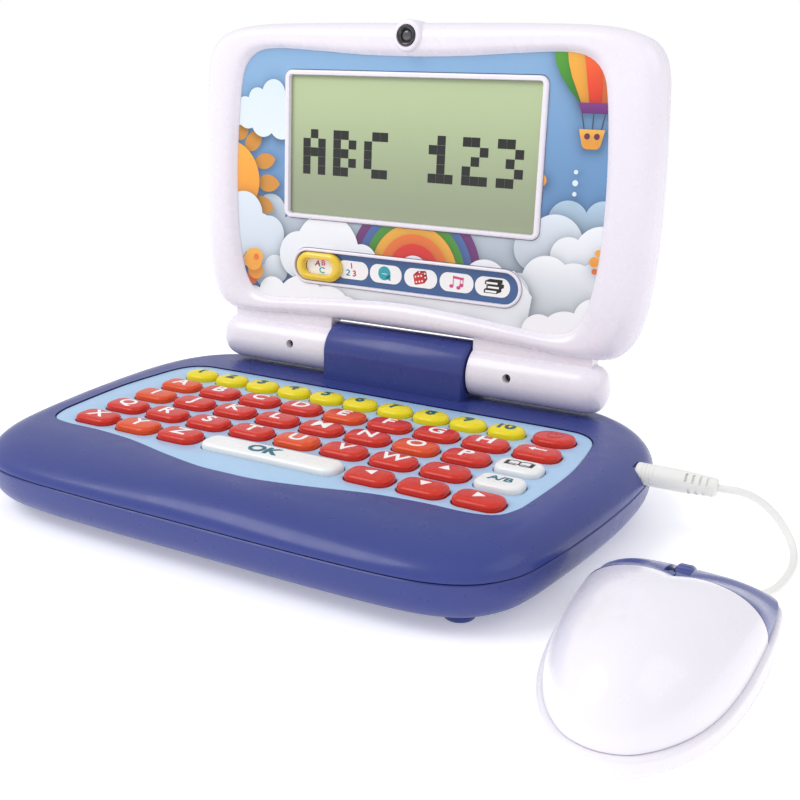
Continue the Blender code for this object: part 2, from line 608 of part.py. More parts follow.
# ---------------------------------------------------------------- mouse
def crease_height(b):
    """Height of the line between the mouse's lower case and its top, rising towards the front."""
    low, high = MOUSE_CREASE_Z
    share = min(max((b + 30) / 70, 0), 1)
    return low + (high - low) * share * share * (3 - 2 * share)


def dome_loop(outline, share, drop=0.0, edge_lift=0.0):
    """A loop of the mouse's top: share 0 at the crease, 1 at the spine. The front slopes more flatly."""
    turn = math.radians(90 * share)
    pull = 1 - math.cos(turn)
    loop = []
    for a, b in outline:
        spine_b = min(max(b * 0.55, MOUSE_SPINE[0]), MOUSE_SPINE[1])
        edge = crease_height(b) + GAP + edge_lift * max(b - BUTTON_EDGE_B, 0) / BUTTON_LENGTH
        top = MOUSE_TOP_Z - MOUSE_ARCH * (spine_b + 6) ** 2 - drop
        frontness = min(max((b - 22) / 22, 0), 1)
        bend = 1 + frontness * frontness * (3 - 2 * frontness)
        rise = math.sin(turn) ** bend
        loop.append((a * (1 - pull), b + (spine_b - b) * pull, edge + (top - edge) * rise))
    return loop


def mouse_dome(drop, inset, shares, outline, edge_lift):
    base = offset_loop(outline, inset)
    return [dome_loop(base, share, drop, edge_lift) for share in shares]


def build_mouse(parent):
    outline = mirrored_outline(MOUSE_OUTLINE, MOUSE_POINTS)
    white = material("mouse_white", (0.86, 0.85, 0.89), 0.3)
    blue = material("mouse_blue", (0.09, 0.11, 0.4), 0.3)

    def crease_row(inset, share):
        return [(a, b, crease_height(b) * share) for a, b in offset_loop(outline, inset)]

    rows = [at_height(offset_loop(outline, 3.2), 0), at_height(offset_loop(outline, 0.9), 0.9),
            crease_row(0.0, 0.36), crease_row(0.0, 0.8), crease_row(0.5, 0.94), crease_row(1.6, 1.0),
            crease_row(4.2, 1.0), at_height(offset_loop(outline, 4.2), 3.0)]
    bottom = to_object("mouse_bottom_shell", loft(rows), parent, white, smooth=True)
    exit_hole = loft([[(a, b, z) for a, z in circle(2.0, (0, MOUSE_CORD_Z), 12)] for b in (36, 60)])
    combine(bottom, shape_tool(exit_hole, parent, "cord_exit"))

    def dome_shell(name, surface, edge_lift=0.0):
        """The hollow top. Its lower edge rises by edge_lift from the buttons' hinge to the front."""
        outer = mouse_dome(0, DOME_INSET, (0, 0.2, 0.42, 0.68, 0.9), outline, edge_lift)
        inner = mouse_dome(MOUSE_WALL, DOME_INSET + MOUSE_WALL, (0.9, 0.6, 0.3, 0), outline, edge_lift)
        return to_object(name, cap_dome(outer + inner, len(outer)), parent, surface, smooth=True)

    top = dome_shell("mouse_top_shell", white)
    combine(top, shape_tool(box((-40, BUTTON_EDGE_B, -5), (40, 60, 50)), parent, "button_room"))
    for name, side in (("mouse_left_button", -1), ("mouse_right_button", 1)):
        button = dome_shell(name, blue, edge_lift=BUTTON_TRAVEL + 0.4)
        other = sorted((side * -40, side * 0.2))
        other_side = box((other[0], -60, -5), (other[1], 60, 50))
        combine(button, shape_tool(other_side, parent, f"{name}_side_trim"))
        palm_side = box((-40, -60, -6), (40, BUTTON_EDGE_B + GAP, 51))
        combine(button, shape_tool(palm_side, parent, f"{name}_palm_trim"))
        slot = box((-WHEEL_SLOT / 2, WHEEL_PLACE[0] - 11, -7), (WHEEL_SLOT / 2, WHEEL_PLACE[0] + 11, 52))
        combine(button, shape_tool(slot, parent, f"{name}_slot"))
    half = WHEEL_WIDTH / 2
    profile = [(-half, WHEEL_RADIUS - 1), (1 - half, WHEEL_RADIUS), (half - 1, WHEEL_RADIUS),
               (half, WHEEL_RADIUS - 1)]
    wheel_parent = empty("wheel_axis", (0, *WHEEL_PLACE), parent)
    wheel = turned_x(profile, 0, 0, sides=20)
    to_object("scroll_wheel", wheel, wheel_parent, blue, smooth=True)


def cap_dome(loops, outer_count):
    """A dome shell: outer loops from its edge to the top, inner loops back, each closed by its own cap."""
    mesh_data = bmesh.new()
    rows = [[mesh_data.verts.new(Vector(point) * MM) for point in loop] for loop in loops]
    total = len(rows[0])
    pairs = [(index, index + 1) for index in range(len(rows) - 1) if index != outer_count - 1]
    pairs.append((len(rows) - 1, 0))
    for low, high in pairs:
        for index in range(total):
            after = (index + 1) % total
            mesh_data.faces.new([rows[low][index], rows[low][after], rows[high][after], rows[high][index]])
    for row in (rows[outer_count - 1], rows[outer_count]):
        for index in range(total // 2):
            across = [row[index], row[index + 1], row[total - index - 1], row[(total - index) % total]]
            mesh_data.faces.new(list(dict.fromkeys(across)))
    return mesh_data


# ---------------------------------------------------------------- socket, plug and cord
def build_plug_and_cord(parent):
    black = material("socket_black", (0.02, 0.02, 0.02), 0.5)
    section = [(99.0, 2.9), (110.7, 2.9), (110.7, 2.1), (100.6, 2.1)]
    socket = [[(x, y, z) for y, z in circle(radius, (PLUG_Y, PLUG_Z))] for x, radius in section]
    to_object("jack_socket", loft(socket), parent, black, smooth=True)
    profile = [(101.6, 0.6), (103.0, 1.75), (PLUG_FACE_X, 1.75), (PLUG_FACE_X + 0.01, PLUG_RADIUS - 0.3),
               (PLUG_FACE_X + 0.8, PLUG_RADIUS), (132.0, PLUG_RADIUS), (136.0, PLUG_RADIUS - 0.6),
               (PLUG_END_X - 0.5, PLUG_RADIUS - 1.0), (PLUG_END_X, PLUG_RADIUS - 1.5)]
    plug = turned_x(profile, PLUG_Y, PLUG_Z)
    to_object("mouse_plug", plug, parent, material("plug_white", (0.85, 0.85, 0.83), 0.4), smooth=True)

    route = [Vector(point) for point in CORD_ROUTE]
    padded = [2 * route[0] - route[1], *route, 2 * route[-1] - route[-2]]
    dense = []
    for index in range(1, len(padded) - 2):
        dense += [curve_point(*padded[index - 1:index + 3], step / 10) for step in range(10)]
    dense.append(tuple(route[-1]))
    points = even_points(dense, CORD_POINTS, closed=False)
    curve = bpy.data.curves.new("mouse_cord", "CURVE")
    curve.dimensions = "3D"
    curve.bevel_depth = CORD_RADIUS * MM
    curve.bevel_resolution = 2
    curve.use_fill_caps = True
    spline = curve.splines.new("POLY")
    spline.points.add(len(points) - 1)
    for slot, point in zip(spline.points, points):
        slot.co = (*(Vector(point) * MM), 1)
    curve.materials.append(material("plug_white", (0.85, 0.85, 0.83), 0.4))
    cord = bpy.data.objects.new("mouse_cord", curve)
    cord.parent = parent
    bpy.context.scene.collection.objects.link(cord)


def main():
    clear_scene()
    origin = empty("desk_origin", (-ORIGIN_X, -ORIGIN_Y, 0))
    build_base_top(origin)
    build_base_bottom(origin)
    build_battery_door(origin)
    build_keyboard_panel(origin)
    build_keyboard_insides(origin)
    build_number_keys(origin)
    for name, centre, size, corner in key_places():
        build_key(origin, name, centre, size, corner)
    build_hinge_pin(origin)
    lid = empty("lid_hinge_axis", (0, HINGE_Y, HINGE_Z), origin, -LID_LEAN_DEG)
    build_lid_front(lid)
    build_lid_rear(lid)
    build_screen(lid)
    build_slider(lid)
    mouse = empty("mouse_middle", (*MOUSE_CENTRE, 0), origin)
    build_mouse(mouse)
    build_plug_and_cord(origin)


main()
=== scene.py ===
"""Looks of the toy laptop computer and its wired mouse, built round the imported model.

Sizes are in millimetres until piece() writes a mesh. Base parts use X across, Y towards the lid and Z up
from the desk. Lid parts use x across, v up from the hinge and n out of the screen: they are built flat, and
FACE stands them up. Mouse parts use a across, b forward from its middle and z up.
"""
import json
import math

import bmesh
import bpy
import numpy as np
from mathutils import Matrix, Vector
from mathutils.geometry import delaunay_2d_cdt


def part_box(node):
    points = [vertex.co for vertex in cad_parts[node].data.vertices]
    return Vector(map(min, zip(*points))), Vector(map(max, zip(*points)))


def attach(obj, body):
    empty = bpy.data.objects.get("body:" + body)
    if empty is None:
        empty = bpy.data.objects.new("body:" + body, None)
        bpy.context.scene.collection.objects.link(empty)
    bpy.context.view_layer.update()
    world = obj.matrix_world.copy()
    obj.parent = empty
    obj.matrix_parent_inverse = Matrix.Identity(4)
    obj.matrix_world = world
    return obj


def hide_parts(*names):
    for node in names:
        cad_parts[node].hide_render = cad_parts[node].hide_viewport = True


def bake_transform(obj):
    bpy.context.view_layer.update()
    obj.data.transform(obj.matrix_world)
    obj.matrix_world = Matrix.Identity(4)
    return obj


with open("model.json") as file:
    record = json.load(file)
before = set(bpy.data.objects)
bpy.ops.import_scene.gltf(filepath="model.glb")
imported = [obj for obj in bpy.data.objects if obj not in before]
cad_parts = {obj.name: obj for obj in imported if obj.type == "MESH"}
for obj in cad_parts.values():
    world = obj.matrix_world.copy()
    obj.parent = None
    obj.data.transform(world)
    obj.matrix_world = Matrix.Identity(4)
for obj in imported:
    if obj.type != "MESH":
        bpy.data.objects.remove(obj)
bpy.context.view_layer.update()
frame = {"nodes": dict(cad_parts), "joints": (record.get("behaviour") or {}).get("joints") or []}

MM = 0.001

# ---------------------------------------------------------------- places, from the frame
HINGE_Y = 64.8
HINGE_Z = 39.8
LID_LEAN_DEG = 2.2
hinge = next(joint for joint in frame["joints"] if joint["name"] == "lid_hinge")
HINGE = Vector(hinge["pos_m"])
LAPTOP = Matrix.Translation(HINGE - Vector((0, HINGE_Y, HINGE_Z)) * MM)
FACE = (Matrix.Translation(HINGE) @ Matrix.Rotation(math.radians(-LID_LEAN_DEG), 4, "X")
        @ Matrix.Rotation(math.radians(90), 4, "X"))
MOUSE_CENTRE = (148.5, -68.0)
MOUSE = LAPTOP @ Matrix.Translation(Vector((*MOUSE_CENTRE, 0)) * MM)
ALONG_X = Matrix.Rotation(math.radians(90), 4, "Y")
ALONG_Y = Matrix.Rotation(math.radians(-90), 4, "X")


def moved(x, y, z):
    return Matrix.Translation(Vector((x, y, z)) * MM)


# ---------------------------------------------------------------- camera
LENS_MM = 48.63
CAMERA_PLACE = (210.765, -330.972, 161.440)
CAMERA_LOOK = (-0.45088, 0.84120, -0.29848)
CAMERA_RIGHT = (0.87862, 0.47720, 0.01765)
camera_data = bpy.data.cameras.new("camera")
camera_data.lens = LENS_MM
camera_data.clip_start = 0.01
camera = bpy.data.objects.new("camera", camera_data)
bpy.context.scene.collection.objects.link(camera)
look, right = Vector(CAMERA_LOOK), Vector(CAMERA_RIGHT)
turned_to = Matrix((right, right.cross(look), -look)).transposed().to_4x4()
camera.matrix_world = LAPTOP @ moved(*CAMERA_PLACE) @ turned_to
bpy.context.scene.camera = camera

# ---------------------------------------------------------------- outlines, shared with the CAD
ROUND = 220                    # points round each shell
DEEP_INSET = 8.0               # beyond this a loop shrinks instead, so that its corners don't cross

BASE_OUTLINE = [(0, 82.5), (40, 82), (70, 79.5), (90, 74.5), (104, 66), (113.5, 53), (118, 36),
                (118.6, 15), (117, -8), (114.3, -30), (111, -50), (107, -63), (99, -73), (87, -79),
                (70, -81.6), (40, -82.5), (0, -82.5)]
DECK_OUTLINE = [(0, 75), (40, 74.8), (70, 72.5), (86, 67), (96, 58), (101, 45), (102.6, 30),
                (102.8, 10), (102.4, -8), (101.2, -22), (99.8, -34), (97.6, -43.2), (92, -50.0),
                (81, -52.2), (55, -53.6), (30, -58.5), (12, -62.4), (0, -62.8)]
PANEL_OUTLINE = [(0, 42.5), (40, 42.5), (80, 42.5), (90, 41), (95.6, 35), (97.8, 25), (99.5, 5),
                 (99.3, -8), (98.6, -18), (97.6, -29), (96.2, -38.4), (92.2, -45.8), (83.5, -48.4),
                 (68, -48.6), (50, -50.6), (30, -55.7), (12, -59.3), (0, -59.6)]
LID_OUTLINE = [(0, 136.7), (40, 136.7), (74, 136), (90, 133.4), (98, 128.5), (101.6, 120),
               (103, 105), (104.2, 82), (104.4, 60), (103.6, 42), (101.6, 28), (97.4, 17.5),
               (90, 12.2), (76, 11.2), (55, 12.4), (30, 13), (0, 13)]
ART_OUTLINE = [(0, 123.7), (22, 124.1), (44, 125.4), (64, 126.2), (74, 124.4), (80, 118.5),
               (82.4, 108), (84, 90), (84.6, 72), (84.2, 54), (82.6, 40), (80, 29.5), (75.5, 23),
               (67, 20.4), (50, 21.4), (26, 23.4), (0, 24.6)]
MOUSE_OUTLINE = [(0, 48.8), (14, 48.4), (23.5, 46.8), (27.8, 42.5), (29.1, 32), (29.3, 20), (28.8, 8),
                 (27.9, -3), (26.2, -14), (23.6, -24), (19.8, -33), (14.8, -40.6), (8.4, -46.4), (0, -48.6)]


def smooth(points, count, closed=True):
    """count evenly spaced points on the smooth curve through the given ones."""
    line = np.array(points, float)
    if closed:
        padded = np.vstack([line[-1:], line, line[:2]])
    else:
        padded = np.vstack([2 * line[0] - line[1], line, 2 * line[-1] - line[-2]])
    t = np.linspace(0, 1, 24, endpoint=False)[:, None]
    dense = []
    for a, b, c, d in zip(padded, padded[1:], padded[2:], padded[3:]):
        dense.append(0.5 * (2 * b + (c - a) * t + (2 * a - 5 * b + 4 * c - d) * t ** 2
                            + (3 * b - a - 3 * c + d) * t ** 3))
    dense = np.vstack([*dense, line[:1] if closed else line[-1:]])
    along = np.concatenate([[0], np.cumsum(np.linalg.norm(np.diff(dense, axis=0), axis=1))])
    wanted = np.linspace(0, along[-1], count, endpoint=not closed)
    return np.stack([np.interp(wanted, along, dense[:, axis]) for axis in range(line.shape[1])], axis=1)


def mirrored(half, count=ROUND):
    return smooth(list(half) + [(-x, y) for x, y in reversed(half[1:-1])], count)


def inset_loop(loop, inset, deep=DEEP_INSET):
    """The outline moved inwards along its normals. It runs clockwise, seen from the front."""
    tangent = np.roll(loop, -1, axis=0) - np.roll(loop, 1, axis=0)
    tangent /= np.linalg.norm(tangent, axis=1)[:, None]
    moved_in = loop + np.stack([tangent[:, 1], -tangent[:, 0]], axis=1) * min(inset, deep)
    if inset > deep:
        low, high = moved_in.min(axis=0), moved_in.max(axis=0)
        moved_in = (low + high) / 2 + (moved_in - (low + high) / 2) * (1 - (inset - deep) * 2 / (high - low))
    return moved_in


def raised(loop, z):
    return np.column_stack([loop, np.full(len(loop), z) if np.isscalar(z) else z])


def rounded(width, height, corner, centre=(0, 0), steps=8):
    """A rectangle with round corners."""
    points = []
    for quarter, (side_x, side_y) in enumerate([(1, 1), (-1, 1), (-1, -1), (1, -1)]):
        for step in range(steps + 1):
            angle = math.radians(90 * quarter + 90 * step / steps)
            points.append((centre[0] + side_x * (width / 2 - corner) + corner * math.cos(angle),
                           centre[1] + side_y * (height / 2 - corner) + corner * math.sin(angle)))
    return np.array(points)


def trimmed(size, inset, corner, centre=(0, 0)):
    """A rounded rectangle smaller than the given one by an inset all round."""
    return rounded(size[0] - 2 * inset, size[1] - 2 * inset, corner - inset, centre)


def stadium(width, height, centre=(0, 0), steps=14):
    return rounded(width, height, height / 2 - 0.01, centre, steps)


def circle(radius, centre=(0, 0), sides=32, tall=1.0):
    turn = 2 * np.pi * np.arange(sides) / sides
    return np.column_stack([centre[0] + radius * np.cos(turn), centre[1] + radius * tall * np.sin(turn)])


# ---------------------------------------------------------------- solids
def rings(mesh_data, rows, closed=False):
    made = [[mesh_data.verts.new(point) for point in row] for row in rows]
    pairs = list(zip(made, made[1:])) + ([(made[-1], made[0])] if closed else [])
    for low, high in pairs:
        for index in range(len(low)):
            after = (index + 1) % len(low)
            mesh_data.faces.new([low[index], low[after], high[after], high[index]])
    return made


def loft(rows, ring=False, into=None):
    """Join rows of equal length. A ring joins the last row to the first; otherwise the ends are capped."""
    mesh_data = into or bmesh.new()
    made = rings(mesh_data, rows, ring)
    if not ring:
        mesh_data.faces.new(made[0][::-1])
        mesh_data.faces.new(made[-1])
    return mesh_data


def inside(points, loop):
    """Which points lie within a closed loop."""
    result = np.zeros(len(points), bool)
    x, y = points[:, 0], points[:, 1]
    for (ax, ay), (bx, by) in zip(loop, np.roll(loop, -1, axis=0)):
        if ay != by:
            result ^= ((ay > y) != (by > y)) & (x < (bx - ax) * (y - ay) / (by - ay) + ax)
    return result


def triangulate(points, edges):
    made, _, faces, source, *_ = delaunay_2d_cdt([Vector(p[:2]) for p in points], edges, [], 0, 1e-7)
    return np.array([tuple(v) for v in made]), np.array(faces), source


def fill(mesh_data, outer, holes):
    """Close the flat area between a ring of vertices and the rings within it."""
    every = [vert for ring in [outer, *holes] for vert in ring]
    edges, start = [], 0
    for ring in [outer, *holes]:
        edges += [(start + i, start + (i + 1) % len(ring)) for i in range(len(ring))]
        start += len(ring)
    points, faces, source = triangulate([vert.co for vert in every], edges)
    middles = points[faces].mean(axis=1)
    keep = inside(middles, np.array([v.co[:2] for v in outer]))
    for ring in holes:
        keep &= ~inside(middles, np.array([v.co[:2] for v in ring]))
    for face in faces[keep]:
        mesh_data.faces.new([every[source[corner][0]] for corner in face])


def plate(outer, through=(), blind=(), into=None):
    """A plate from rows down its edge, with holes through it and dents in its first face."""
    mesh_data = into or bmesh.new()
    edge = rings(mesh_data, outer)
    cut = [rings(mesh_data, rows) for rows in through]
    dents = [rings(mesh_data, rows) for rows in blind]
    fill(mesh_data, edge[0], [rows[0] for rows in cut + dents])
    fill(mesh_data, edge[-1], [rows[-1] for rows in cut])
    for rows in dents:
        mesh_data.faces.new(rows[-1])
    return mesh_data


def flat(loop, low, high, into=None):
    return loft([raised(loop, low), raised(loop, high)], into=into)


def turned(profile, sides=48, into=None, centre=(0, 0)):
    """A body turned about z from (z, radius) pairs."""
    return loft([raised(circle(radius, centre, sides), z) for z, radius in profile], into=into)


def soft_edge(radius, steps=5):
    """(inset, drop) pairs down a rounded edge."""
    turns = np.linspace(np.pi / 2, 0, steps + 1)
    return [(radius * (1 - math.cos(t)), radius * (1 - math.sin(t))) for t in turns]


def boxes(corners, into=None):
    """Plain blocks, from pairs of opposite corners."""
    mesh_data = into or bmesh.new()
    for low, high in corners:
        loop = np.array([(low[0], low[1]), (high[0], low[1]), (high[0], high[1]), (low[0], high[1])])
        flat(loop, low[2], high[2], mesh_data)
    return mesh_data


# ---------------------------------------------------------------- materials
def linear(red, green, blue):
    """Light values for a colour given in screen values from 0 to 255."""
    return tuple(((value / 255 + 0.055) / 1.055) ** 2.4 if value > 10 else value / 255 / 12.92
                 for value in (red, green, blue))


def plastic(name, colour, roughness=0.3, coat=0.3, mottle=0.03, grain=2600.0, relief=0.012, metallic=0.0,
            specular=0.5, glow=0.0, paint=False, second=None):
    """Moulded plastic: slight colour drift, uneven gloss and a fine moulded skin."""
    made = bpy.data.materials.new(name)
    made.use_nodes = True
    nodes, links = made.node_tree.nodes, made.node_tree.links
    shader = nodes["Principled BSDF"]
    place = nodes.new("ShaderNodeTexCoord")

    def noise(scale, detail=3.0):
        node = nodes.new("ShaderNodeTexNoise")
        node.inputs["Scale"].default_value = scale
        node.inputs["Detail"].default_value = detail
        links.new(place.outputs["Object"], node.inputs["Vector"])
        return node.outputs["Fac"]

    def spread(source, low, high):
        node = nodes.new("ShaderNodeMapRange")
        node.inputs["From Min"].default_value = 0.3
        node.inputs["From Max"].default_value = 0.7
        node.inputs["To Min"].default_value = low
        node.inputs["To Max"].default_value = high
        links.new(source, node.inputs["Value"])
        return node.outputs["Result"]

    drift = nodes.new("ShaderNodeMix")
    drift.data_type = "RGBA"
    drift.blend_type = "MULTIPLY"
    drift.inputs["Factor"].default_value = 1.0
    if paint:
        read = nodes.new("ShaderNodeAttribute")
        read.attribute_name = "paint"
        links.new(read.outputs["Color"], drift.inputs["A"])
    elif second:
        blend = nodes.new("ShaderNodeMix")
        blend.data_type = "RGBA"
        blend.inputs["A"].default_value = (*colour, 1)
        blend.inputs["B"].default_value = (*second, 1)
        links.new(spread(noise(14, 2), 0, 1), blend.inputs["Factor"])
        links.new(blend.outputs["Result"], drift.inputs["A"])
    else:
        drift.inputs["A"].default_value = (*colour, 1)
    shade = nodes.new("ShaderNodeCombineColor")
    level = spread(noise(45, 4), 1 - mottle, 1)
    for channel in ("Red", "Green", "Blue"):
        links.new(level, shade.inputs[channel])
    links.new(shade.outputs["Color"], drift.inputs["B"])
    links.new(drift.outputs["Result"], shader.inputs["Base Color"])
    links.new(spread(noise(160, 5), roughness * 0.85, roughness * 1.2), shader.inputs["Roughness"])
    bump = nodes.new("ShaderNodeBump")
    bump.inputs["Strength"].default_value = relief
    bump.inputs["Distance"].default_value = 0.0004
    links.new(noise(grain, 2), bump.inputs["Height"])
    links.new(bump.outputs["Normal"], shader.inputs["Normal"])
    shader.inputs["Metallic"].default_value = metallic
    shader.inputs["Specular IOR Level"].default_value = specular
    shader.inputs["Coat Weight"].default_value = coat
    shader.inputs["Coat Roughness"].default_value = 0.12
    if glow:
        shader.inputs["Emission Color"].default_value = (*colour, 1)
        shader.inputs["Emission Strength"].default_value = glow
    return made


BLUE = plastic("blue_shell", linear(56, 68, 138), 0.3, 0.15, specular=0.35)
DOOR = plastic("blue_textured", linear(84, 92, 152), 0.45, 0.0, relief=0.25, grain=1500)
PANEL = plastic("light_blue_panel", linear(172, 207, 238), 0.36, 0.1)
RED = plastic("red_key", linear(214, 44, 24), 0.24, 0.12, specular=0.35)
ORANGE = plastic("orange_key", linear(228, 76, 22), 0.24, 0.12, specular=0.35)
YELLOW = plastic("yellow_key", linear(240, 222, 14), 0.28, 0.12, specular=0.35)
KEY_WHITE = plastic("white_key", linear(244, 244, 242), 0.25, 0.4, mottle=0.03)
WHITE = plastic("white_shell", linear(243, 238, 246), 0.26, 0.35, mottle=0.03)
MOUSE_WHITE = plastic("white_mouse", linear(247, 244, 251), 0.24, 0.4, mottle=0.03)
MOUSE_BLUE = plastic("blue_mouse", linear(62, 76, 150), 0.26, 0.4)
CORD_WHITE = plastic("white_cord", linear(243, 243, 238), 0.42, 0.0, mottle=0.04, relief=0.1)
RING = plastic("yellow_ring", linear(245, 208, 50), 0.22, 0.5)
BED = plastic("slider_bed", linear(60, 96, 146), 0.34, 0.1)
LEGEND_WHITE = plastic("white_print", linear(252, 252, 250), 0.4, 0.0, mottle=0.02)
TEAL = plastic("teal_print", linear(10, 105, 125), 0.4, 0.0)
DEEP_TEAL = plastic("deep_teal_print", linear(0, 92, 100), 0.4, 0.0)
INK = plastic("black_print", linear(26, 26, 28), 0.4, 0.0)
PURPLE = plastic("purple_print", linear(160, 62, 118), 0.4, 0.0)
PINK = plastic("pink_print", linear(218, 82, 140), 0.4, 0.0)
BLUE_PRINT = plastic("blue_print", linear(72, 150, 186), 0.4, 0.0)
RED_PRINT = plastic("red_print", linear(212, 50, 50), 0.4, 0.0)
DARK_RED = plastic("dark_red_print", linear(160, 30, 36), 0.4, 0.0)
TEAL_DISC = plastic("teal_disc_print", linear(48, 168, 178), 0.4, 0.0)
EMBOSS = plastic("red_emblem", linear(196, 38, 30), 0.35, 0.2)
LENS_BLACK = plastic("lens_black", linear(30, 28, 30), 0.18, 0.7)
LENS_GLASS = plastic("lens_glass", linear(74, 72, 78), 0.08, 1.0, mottle=0.2)
ART = plastic("printed_sheet", (1, 1, 1), 0.38, 0.25, mottle=0.02, paint=True)
STEEL = plastic("steel", (0.6, 0.6, 0.62), 0.25, 0.0, metallic=1.0, relief=0.1)
RUBBER = plastic("grey_rubber", linear(120, 120, 124), 0.65, 0.0, relief=0.2)
BOARD = plastic("circuit_green", linear(30, 110, 62), 0.4, 0.2, second=linear(44, 140, 78))
SPEAKER = plastic("speaker_black", linear(34, 34, 36), 0.6, 0.0, relief=0.3)
PIXEL = plastic("screen_black", linear(24, 26, 22), 0.3, 0.2)
PAD = plastic("glide_pad", linear(196, 198, 204), 0.5, 0.0, relief=0.15)
SENSOR = plastic("sensor_red", linear(120, 18, 24), 0.1, 0.8)


# ---------------------------------------------------------------- pieces
def piece(name, mesh_data, body, surface, at=LAPTOP, stands_for=(), sharp=38.0):
    """Write a mesh as a named piece that rides on a body."""
    bmesh.ops.recalc_face_normals(mesh_data, faces=mesh_data.faces)
    mesh_data.transform(Matrix.Scale(MM, 4))
    mesh = bpy.data.meshes.new(name)
    mesh_data.to_mesh(mesh)
    mesh_data.free()
    mesh.shade_smooth()
    mesh.set_sharp_from_angle(angle=math.radians(sharp))
    mesh.materials.append(surface)
    made = bpy.data.objects.new(name, mesh)
    bpy.context.scene.collection.objects.link(made)
    made.matrix_world = at
    if body:
        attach(made, body)
    if stands_for:
        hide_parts(*stands_for)
    return made


def cut(target, tools, sharp=38.0):
    """Take tool shapes, given as meshes in the target's own axes, out of a piece."""
    for mesh_data in tools:
        tool = piece("tool", mesh_data, None, STEEL, target.matrix_world)
        modifier = target.modifiers.new("cut", "BOOLEAN")
        modifier.solver = "EXACT"
        modifier.object = tool
        bpy.context.view_layer.update()
        shaped = bpy.data.meshes.new_from_object(target.evaluated_get(bpy.context.evaluated_depsgraph_get()))
        target.modifiers.remove(modifier)
        bpy.data.objects.remove(tool)
        old, name = target.data, target.data.name
        target.data = shaped
        bpy.data.meshes.remove(old)
        shaped.name = name
    while len(target.data.materials) > 1:
        target.data.materials.pop()
    target.data.set_sharp_from_angle(angle=math.radians(sharp))
    return target


def letters(text, height, stretch=1.0, weight=0.0):
    """Flat letters, 1 mm thick and centred, whose capitals have the given height."""
    data = bpy.data.curves.new("letters", "FONT")
    data.size = 10
    data.extrude = 0.5
    data.offset = weight
    data.resolution_u = 4
    holder = bpy.data.objects.new("letters", data)
    bpy.context.scene.collection.objects.link(holder)
    found = []
    for body in ("H", text):
        data.body = body
        bpy.context.view_layer.update()
        mesh = bpy.data.meshes.new_from_object(holder.evaluated_get(bpy.context.evaluated_depsgraph_get()))
        mesh_data = bmesh.new()
        mesh_data.from_mesh(mesh)
        bpy.data.meshes.remove(mesh)
        found.append(mesh_data)
    bpy.data.objects.remove(holder)
    sample, mesh_data = found
    tall = [vert.co.y for vert in sample.verts]
    wide = [vert.co.x for vert in mesh_data.verts]
    scale = height / (max(tall) - min(tall))
    middle = Vector(((min(wide) + max(wide)) / 2, (min(tall) + max(tall)) / 2, 0))
    sample.free()
    bmesh.ops.remove_doubles(mesh_data, verts=mesh_data.verts, dist=1e-4)
    for vert in mesh_data.verts:
        vert.co = (vert.co - middle) * scale
        vert.co.x *= stretch
        vert.co.z = 0.5 if vert.co.z > 0 else -0.5
    return mesh_data


def drape(mesh_data, surface_z, shift=(0, 0), lift=0.1, depth=0.25):
    """Lay a thin flat shape on a curved top, cut into strips that can follow it."""
    for axis, step in ((0, 1.6), (1, 0.8)):
        places = [vert.co[axis] for vert in mesh_data.verts]
        for place in np.arange(min(places) + step, max(places) - 0.2, step):
            where = [0.0, 0.0, 0.0]
            where[axis] = place
            normal = [float(index == axis) for index in range(3)]
            bmesh.ops.bisect_plane(mesh_data, geom=[*mesh_data.verts, *mesh_data.edges, *mesh_data.faces],
                                   dist=1e-4, plane_co=where, plane_no=normal)
    for vert in mesh_data.verts:
        vert.co.x += shift[0]
        vert.co.y += shift[1]
        over = surface_z(vert.co.x, vert.co.y)
        vert.co.z = over + lift if vert.co.z > 0 else over - depth
    return mesh_data


# ---------------------------------------------------------------- plug and cord
PLUG_PLACE = (28.0, 22.8)
CORD_RADIUS = 1.4
CORD_ROUTE = [(143.9, 28.0, 22.8), (147.2, 28.9, 22.6), (150.6, 30.8, 21.9), (154.0, 33.0, 20.4),
              (157.4, 35.2, 18.0), (160.8, 37.0, 14.8), (164.2, 37.8, 11.0), (167.3, 37.0, 7.2),
              (169.7, 34.0, 4.2), (171.2, 28.6, 2.4), (171.7, 21.0, 1.7), (171.0, 11.5, 1.6),
              (169.3, 3.0, 1.6), (166.0, -3.4, 1.7), (161.2, -7.0, 2.1), (156.0, -8.6, 3.0),
              (151.8, -10.6, 4.4), (149.2, -13.8, 6.0), (148.5, -17.6, 7.0)]


